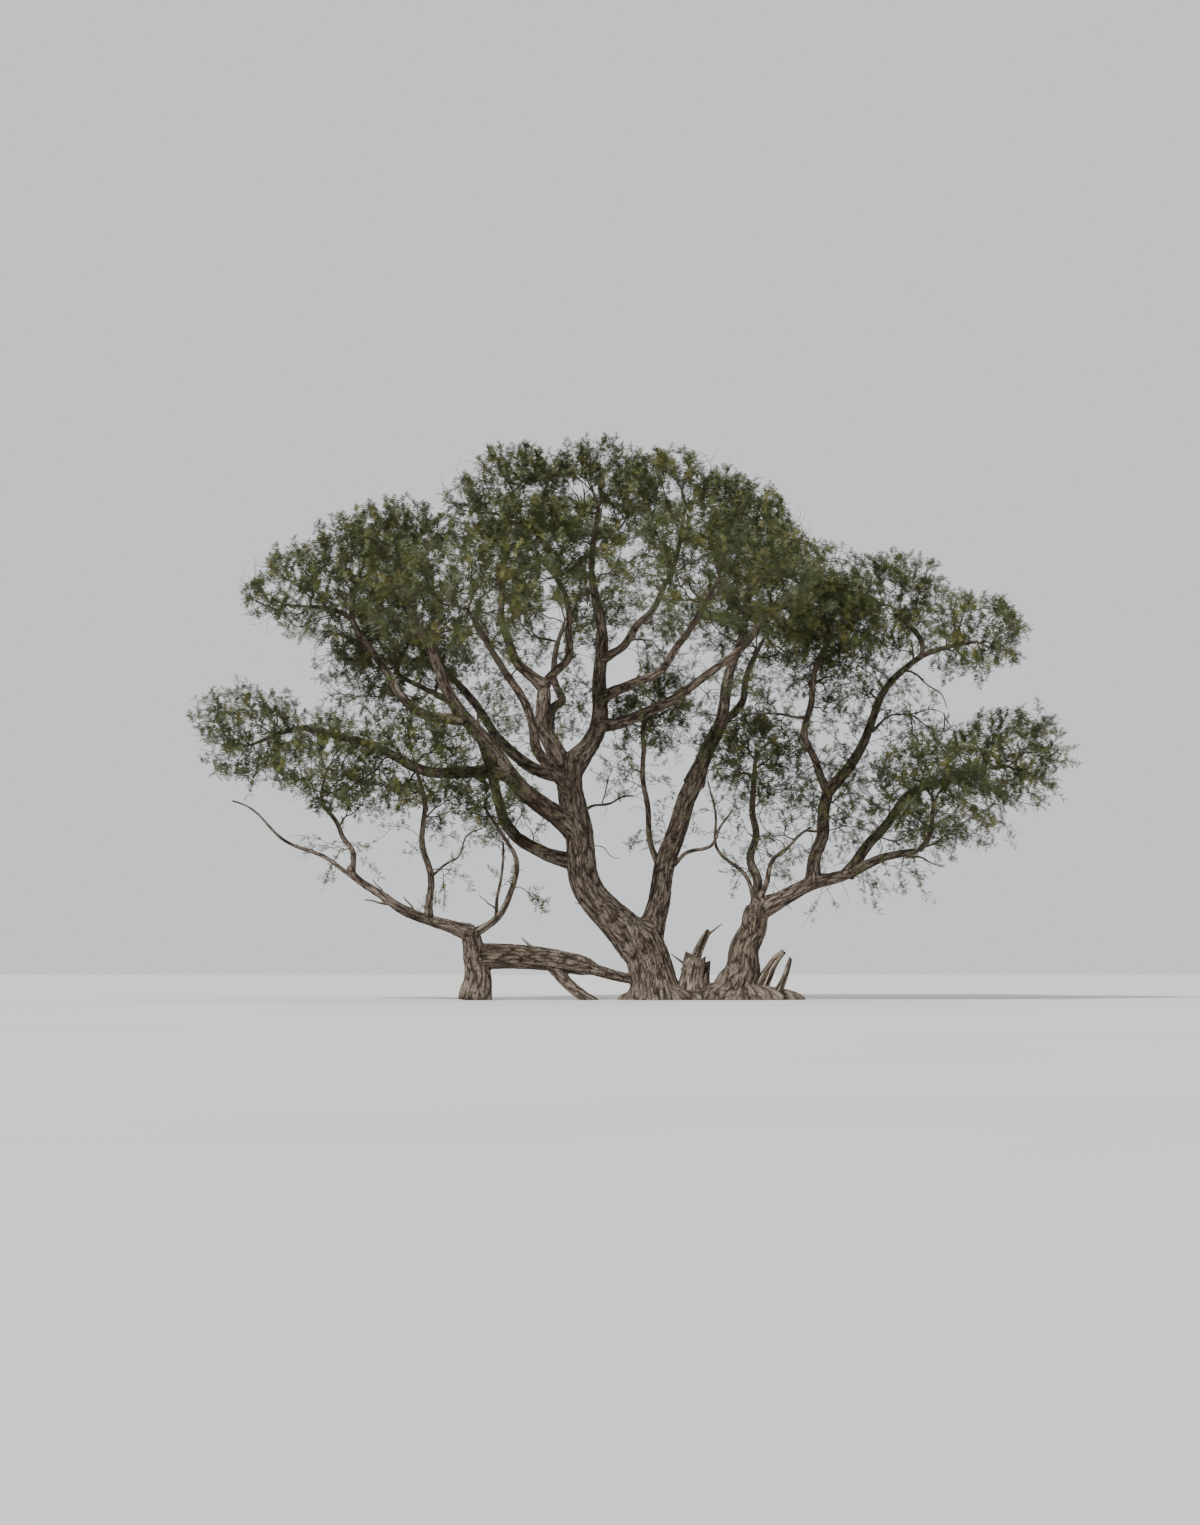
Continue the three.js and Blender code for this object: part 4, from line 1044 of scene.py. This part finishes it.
class Heap:
    """Corners and triangles of many small shapes, to be made into one mesh."""

    def __init__(self):
        self.corners, self.faces, self.greens, self.count = [], [], [], 0

    def add(self, corners, faces, green=0):
        self.corners.append(corners)
        self.faces.append(faces + self.count)
        self.greens.append(np.full(len(faces), green))
        self.count += len(corners)

    def tube(self, points, radii):
        sides = next(count for least, count in TWIG_SIDES if radii[0] >= least)
        _, across, over = carried_frames(points)
        angle = np.arange(sides) / sides * math.tau
        ring = (np.cos(angle)[None, :, None] * across[:, None] + np.sin(angle)[None, :, None] * over[:, None])
        corners = (points[:, None] + ring * np.asarray(radii)[:, None, None]).reshape(-1, 3)
        first = (np.arange(len(points) - 1) * sides)[:, None]
        here, after = first + np.arange(sides), first + (np.arange(sides) + 1) % sides
        walls = [np.stack(corner, -1).reshape(-1, 3)
                 for corner in ((here, after, after + sides), (here, after + sides, here + sides))]
        fan = np.arange(1, sides - 1)
        last = (len(points) - 1) * sides
        foot = np.column_stack([np.zeros_like(fan), fan + 1, fan])
        tip = np.column_stack([np.zeros_like(fan), fan, fan + 1]) + last
        self.add(corners, np.concatenate([*walls, foot, tip]))

    def piece(self, name, smooth, finishes, nodes, slot):
        corners, faces = np.concatenate(self.corners), np.concatenate(self.faces)
        mesh = bpy.data.meshes.new(name)
        mesh.vertices.add(len(corners))
        mesh.vertices.foreach_set("co", corners.ravel())
        mesh.loops.add(faces.size)
        mesh.loops.foreach_set("vertex_index", faces.ravel())
        mesh.polygons.add(len(faces))
        mesh.polygons.foreach_set("loop_start", np.arange(0, faces.size, 3))
        mesh.polygons.foreach_set("material_index", np.concatenate(self.greens))
        mesh.update(calc_edges=True)
        finished(name, mesh, smooth, finishes, nodes)


# %% [markdown]
# Young bark on the twigs is smooth and dark, greyer where it is older. The leaves are a dusty grey-green.
# Five greens are dealt out shoot by shoot, so neighbouring sprays differ as they do on a real tree. Part of
# the difference is each spray's own age, and part is painted light and shade for its turn to the light.

# %% Finishes of twigs and leaves
TWIG_COLOURS = ((0.3, (0.045, 0.033, 0.024)), (0.75, (0.12, 0.095, 0.07)))
TWIG_GRAIN = Sizes(patches=6, bumps=90, depth=0.002)
# Each green is partly the leaves' own tone and partly painted light and shade for a spray's turn to the light.
GREENS_WITH_PAINTED_LIGHT = ((0.07, 0.085, 0.024), (0.088, 0.104, 0.042), (0.045, 0.061, 0.018), (0.125, 0.12, 0.034),
          (0.1, 0.11, 0.056))
LEAF_SHADES = ((0.35, 0.78), (0.65, 1.2))
LEAF_PATCHES = 3.5


def twig_finish():
    finish = Finish("twig_bark", 0.85)
    finish.bump(finish.cloudy(TWIG_GRAIN.bumps), TWIG_GRAIN.depth)
    return finish.coloured(finish.ramp(finish.cloudy(TWIG_GRAIN.patches), TWIG_COLOURS))


def leaf_finish(index, green):
    finish = Finish(f"leaf_green_{index + 1}", 0.62)
    stops = [(stop, [shade * part for part in green]) for stop, shade in LEAF_SHADES]
    return finish.coloured(finish.ramp(finish.cloudy(LEAF_PATCHES), stops))


twig_bark = twig_finish()
leaf_finishes = [leaf_finish(index, green) for index, green in enumerate(GREENS_WITH_PAINTED_LIGHT)]


# %% [markdown]
# Now the crown is grown, mass by mass, and gathered part by part into one piece of twigs and one of
# leaves.

# %% Growing one mass
LEAF_LENGTH = (0.075, 0.115)
TUFT = Sizes(twice=0.3, end_side=0.2, side=0.75, along=0.4, loose=1.9, middle=(0.5, 0.5, 0.35), up=0.9,
             least=0.4)
SHOOT_TAPER = 0.4
MASS_STEM_START = 0.1


def leaves_on(path, heading, side, tufts, draw, heap):
    """Tufts of leaves at the bends of a shoot, in one green."""
    spots, headings, ups, lengths = [], [], [], []
    for bend, spot in enumerate(path[1:], 1):
        if draw() > tufts:
            continue
        last = bend == len(path) - 1
        sideways = side * (1 if bend % 2 else -1) * (TUFT.end_side if last else TUFT.side)
        for _ in range(2 if last or draw() < TUFT.twice else 1):
            loose = three(draw) - TUFT.middle
            spots.append(spot)
            headings.append(unit(sideways + heading * TUFT.along + loose * TUFT.loose))
            ups.append(unit([draw() - 0.5, draw() - 0.5, TUFT.up]))
            lengths.append(between(LEAF_LENGTH, draw()) * between((TUFT.least, 1), tufts))
    if spots:
        corners, faces = placed_leaves(*(np.array(rows) for rows in (spots, headings, ups, lengths)))
        heap.add(corners, faces, int(draw() * len(GREENS_WITH_PAINTED_LIGHT)))
    return len(spots)


def dress(wood, radii, fullness, middle, reach, draw, twigs, leaves):
    """Tubes for the grown twigs, then shoots and leaves on them."""
    for chain in wood.chains:
        thick = radii[chain]
        thick[0] = thick[1]
        twigs.tube(np.array([wood.places[index] for index in chain]), thick)
    count = 0
    for foot, heading, length, leafy in shoots_of(wood, fullness, middle, reach, draw):
        path, side = shoot_path(foot, heading, length, draw)
        twigs.tube(path[[0, -1]], [fullness.tip, fullness.tip * SHOOT_TAPER])
        if leafy:
            count += leaves_on(path, heading, side, fullness.tufts, draw, leaves)
    return count


def grow_mass(name, twigs, leaves):
    mass, index = MASSES[name], mass_names.index(name)
    fullness = FULLNESS[mass.part]
    draw = seeded(SEEDS["masses"] + index)
    line = stem_line(mass)
    wood = Wood([(line, MASS_STEM_START)])
    places = twig_places(index, mass, fullness, draw)
    for place in places[np.argsort(np.linalg.norm(places - wood.places[0], axis=1))]:
        wood.fork_to(place, fullness.lift, draw)
    radii = wood.radii(fullness.tip, line.girth[0] / 2)
    twigs.tube(line.at(np.linspace(0, 1, len(wood.stem))), radii[wood.stem])
    return dress(wood, radii, fullness, np.array(mass.middle), np.array(mass.reach), draw, twigs, leaves)


# %% [markdown]
# Between the masses the boughs aren't bare either. All along them stand short sprays, and in the hollows
# of the crown long thin twigs cross and hang, with few and small leaves, because little light reaches them.
# They grow by the same rule, with the boughs themselves as stems. A spray is told by the share of the bough
# where it starts and its number of twigs.

# %% Sprays along the boughs and thickets between them
SPRAYS = dict(
    curl_bough=(0.4, 14), left_bough=(0.35, 20), left_fork=(0.3, 10), left_fork_rise=(0.1, 12),
    left_fork_lean=(0.2, 12), left_reach=(0.2, 12), left_back_bough=(0.4, 12), low_left_bough=(0.25, 26),
    top_leader=(0.3, 20), cross_bough=(0.2, 20), upper_right_limb=(0.2, 12), front_left_bough=(0.5, 12),
    front_right_bough=(0.5, 12), back_left_bough=(0.5, 12), back_right_bough=(0.5, 12), centre_stem=(0.6, 10),
    centre_rise=(0.15, 22), slim_upright=(0.3, 14), right_inner_bough=(0.3, 14), right_bough=(0.4, 16),
    right_upright=(0.35, 16), right_outer_bough=(0.2, 20), right_inner_rise=(0.1, 14), right_sweep=(0.1, 24),
    low_upright=(0.4, 14), low_rise=(0.3, 12), low_crook=(0.6, 8),
)
SPRAY = Sizes(reach=(0.3, 0.85), hang=0.225)
Thicket = namedtuple("Thicket", "middle reach twigs stems")
THICKETS = [Thicket(*row) for row in (
    ((2.6, 0, 4.5), (1.15, 0.6, 0.8), 100, ("right_inner_rise", "right_sweep", "cross_twig")),
    ((4.15, 0.1, 4.75), (0.7, 0.5, 0.5), 32, ("right_sweep", "sweep_twig", "drooping_twig")),
    ((3.3, -0.1, 3.1), (1.05, 0.6, 0.75), 105, ("right_upright", "right_outer_bough", "right_bough")),
    ((2, 0, 2.75), (0.75, 0.55, 0.95), 62, ("fork_limb", "upright_twig", "right_inner_bough")),
    ((4.9, -0.2, 2.75), (0.8, 0.5, 0.5), 34, ("right_bough", "right_outer_bough")),
    ((3.7, -0.2, 1.95), (0.6, 0.4, 0.3), 18, ("right_bough",)),
    ((0.95, 0.1, 3.1), (0.5, 0.5, 0.75), 34, ("arching_limb", "centre_side_limb", "centre_stem")),
    ((1.1, 0.2, 4.6), (0.7, 0.6, 0.8), 44, ("centre_rise", "cross_bough")),
    ((-0.55, 0.15, 3.5), (0.5, 0.4, 0.65), 34, ("slim_upright", "trunk_side_limb")),
    ((-0.1, 0, 5.6), (0.75, 0.6, 0.55), 30, ("cross_bough", "upper_right_limb")),
    ((-2.7, 0, 4.75), (0.75, 0.6, 0.6), 40, ("left_bough", "curl_bough", "left_fork_rise")),
    ((-1.35, 0, 4.75), (0.35, 0.4, 0.5), 14, ("left_fork", "top_leader")),
    ((-2.05, 0, 2.8), (0.5, 0.5, 0.65), 20, ("curl_bough", "low_crook", "second_crook")),
    ((-3.1, -0.3, 2.9), (0.6, 0.5, 0.7), 20, ("low_crook", "low_upright")),
    ((-4.5, -0.3, 4.9), (0.9, 0.5, 0.4), 30, ("low_left_bough", "left_reach")),
    ((3.15, 0, 5.15), (1, 0.6, 0.42), 100, ("right_inner_rise", "right_sweep", "drooping_twig")),
    ((0.1, 0, 6.95), (1, 0.7, 0.42), 60, ("top_leader", "upper_right_limb")),
    ((-4.6, -0.5, 3.25), (0.85, 0.6, 0.4), 66, ("low_rise", "low_left_bough")),
    ((2.75, 0.1, 3.5), (0.6, 0.4, 0.42), 55, ("right_upright", "right_inner_rise")),
    ((-5.2, -0.1, 5.6), (0.4, 0.4, 0.32), 26, ("left_reach",)),
    ((4.4, 0.1, 4.2), (0.65, 0.5, 0.25), 38, ("right_outer_bough", "sweep_twig")),
    ((4.05, 0.3, 5.7), (0.5, 0.5, 0.26), 26, ("right_sweep",)),
    ((2.85, 0.1, 7), (0.45, 0.5, 0.3), 28, ("right_inner_rise", "centre_rise")),
    ((-1, 0.4, 8.7), (0.65, 0.6, 0.32), 26, ("top_leader",)),
    ((1.85, 0, 2.25), (0.35, 0.35, 0.42), 28, ("fork_limb", "right_inner_bough")),
    ((5.8, 0.2, 3.25), (0.5, 0.5, 0.28), 26, ("right_outer_bough",)),
)]
THICKET_STEM_START = 0.25


def grow_sprays(index, name, first_share, count, twigs, leaves):
    draw = seeded(SEEDS["sprays"] + index)
    line = lines[name]
    wood = Wood([(line, first_share)])
    for _ in range(count):
        foot = line.at(between((first_share, 1), draw()))[0]
        out = unit(three(draw) - 0.5 - (0, 0, SPRAY.hang))
        place = foot + out * between(SPRAY.reach, draw())
        if within_crown(place):
            wood.fork_to(place, INNER.lift, draw)
    return dress(wood, wood.radii(INNER.tip), INNER, line.at(0.5)[0], np.ones(3), draw, twigs, leaves)


def grow_thicket(index, thicket, twigs, leaves):
    draw = seeded(SEEDS["thickets"] + index)
    middle, reach = np.array(thicket.middle), np.array(thicket.reach)
    wood = Wood([(lines[name], THICKET_STEM_START) for name in thicket.stems])
    outs = even_directions(thicket.twigs, draw())
    places = np.array([middle + out * reach * draw() ** (1 / 3) for out in outs])
    stems = np.array(wood.places)
    near = [np.linalg.norm(stems - place, axis=1).min() for place in places]
    for place in places[np.argsort(near)]:
        if within_crown(place):
            wood.fork_to(place, INNER.lift, draw)
    return dress(wood, wood.radii(INNER.tip), INNER, middle, reach, draw, twigs, leaves)


# %% The whole crown
def crown_part(part, nodes, twigs, leaves, count):
    """One piece of twigs and one of leaves."""
    twigs.piece(f"{part}_twigs", True, [twig_bark], nodes, "bark")
    leaves.piece(f"{part}_leaves", False, leaf_finishes, nodes, "foliage")
    print(part, "leaves", count)


for part in CROWN_PARTS:
    twigs, leaves = Heap(), Heap()
    names = [name for name, mass in MASSES.items() if mass.part == part]
    crown_part(part, names, twigs, leaves, sum(grow_mass(name, twigs, leaves) for name in names))

twigs, leaves = Heap(), Heap()
count = sum(grow_sprays(index, name, *SPRAYS[name], twigs, leaves) for index, name in enumerate(SPRAYS))
count += sum(grow_thicket(index, thicket, twigs, leaves) for index, thicket in enumerate(THICKETS))
crown_part("inner", ("centre_hang_mass", "right_inner_mass", "left_hollow_mass"), twigs, leaves, count)

# %% [markdown]
# The stage is a plain pale floor under a pale sky, with a soft sun from the front left. The camera stands
# low and far away and looks up a little, with a lens long enough to fill the picture.

# %% Floor, light and sky
FLOOR = Sizes(size=160, patches=0.2, shades=((0.4, (0.62, 0.6, 0.57)), (0.6, (0.66, 0.64, 0.61))))
SUN = Sizes(strength=4.2, angle=8, turn=(48, 0, -35))
SKY = (0.86, 0.88, 0.9, 1)

floor_bm = bmesh.new()
bmesh.ops.create_grid(floor_bm, x_segments=2, y_segments=2, size=FLOOR.size)
floor_mesh = mesh_of("floor", floor_bm)
floor_finish = Finish("floor", 0.9)
floor_colour = floor_finish.ramp(floor_finish.cloudy(FLOOR.patches), FLOOR.shades)
floor_mesh.materials.append(floor_finish.coloured(floor_colour))
object_of("floor", floor_mesh)

sun_data = bpy.data.lights.new("sun", "SUN")
sun_data.energy = SUN.strength
sun_data.angle = math.radians(SUN.angle)
object_of("sun", sun_data).rotation_euler = [math.radians(turn) for turn in SUN.turn]

world = bpy.data.worlds.new("sky")
world.use_nodes = True
world.node_tree.nodes["Background"].inputs["Color"].default_value = SKY
world.node_tree.nodes["Background"].inputs["Strength"].default_value = 1
bpy.context.scene.world = world

# %% The camera
VIEW = Sizes(rise=3.96, lens=70, sensor=36, far=1000)

camera_data = bpy.data.cameras.new("camera")
camera_data.lens = VIEW.lens
camera_data.sensor_width = VIEW.sensor
camera_data.clip_end = VIEW.far
camera = object_of("camera", camera_data)
camera.location = EYE
camera.rotation_euler = (math.radians(90 + VIEW.rise), 0, 0)
bpy.context.scene.camera = camera
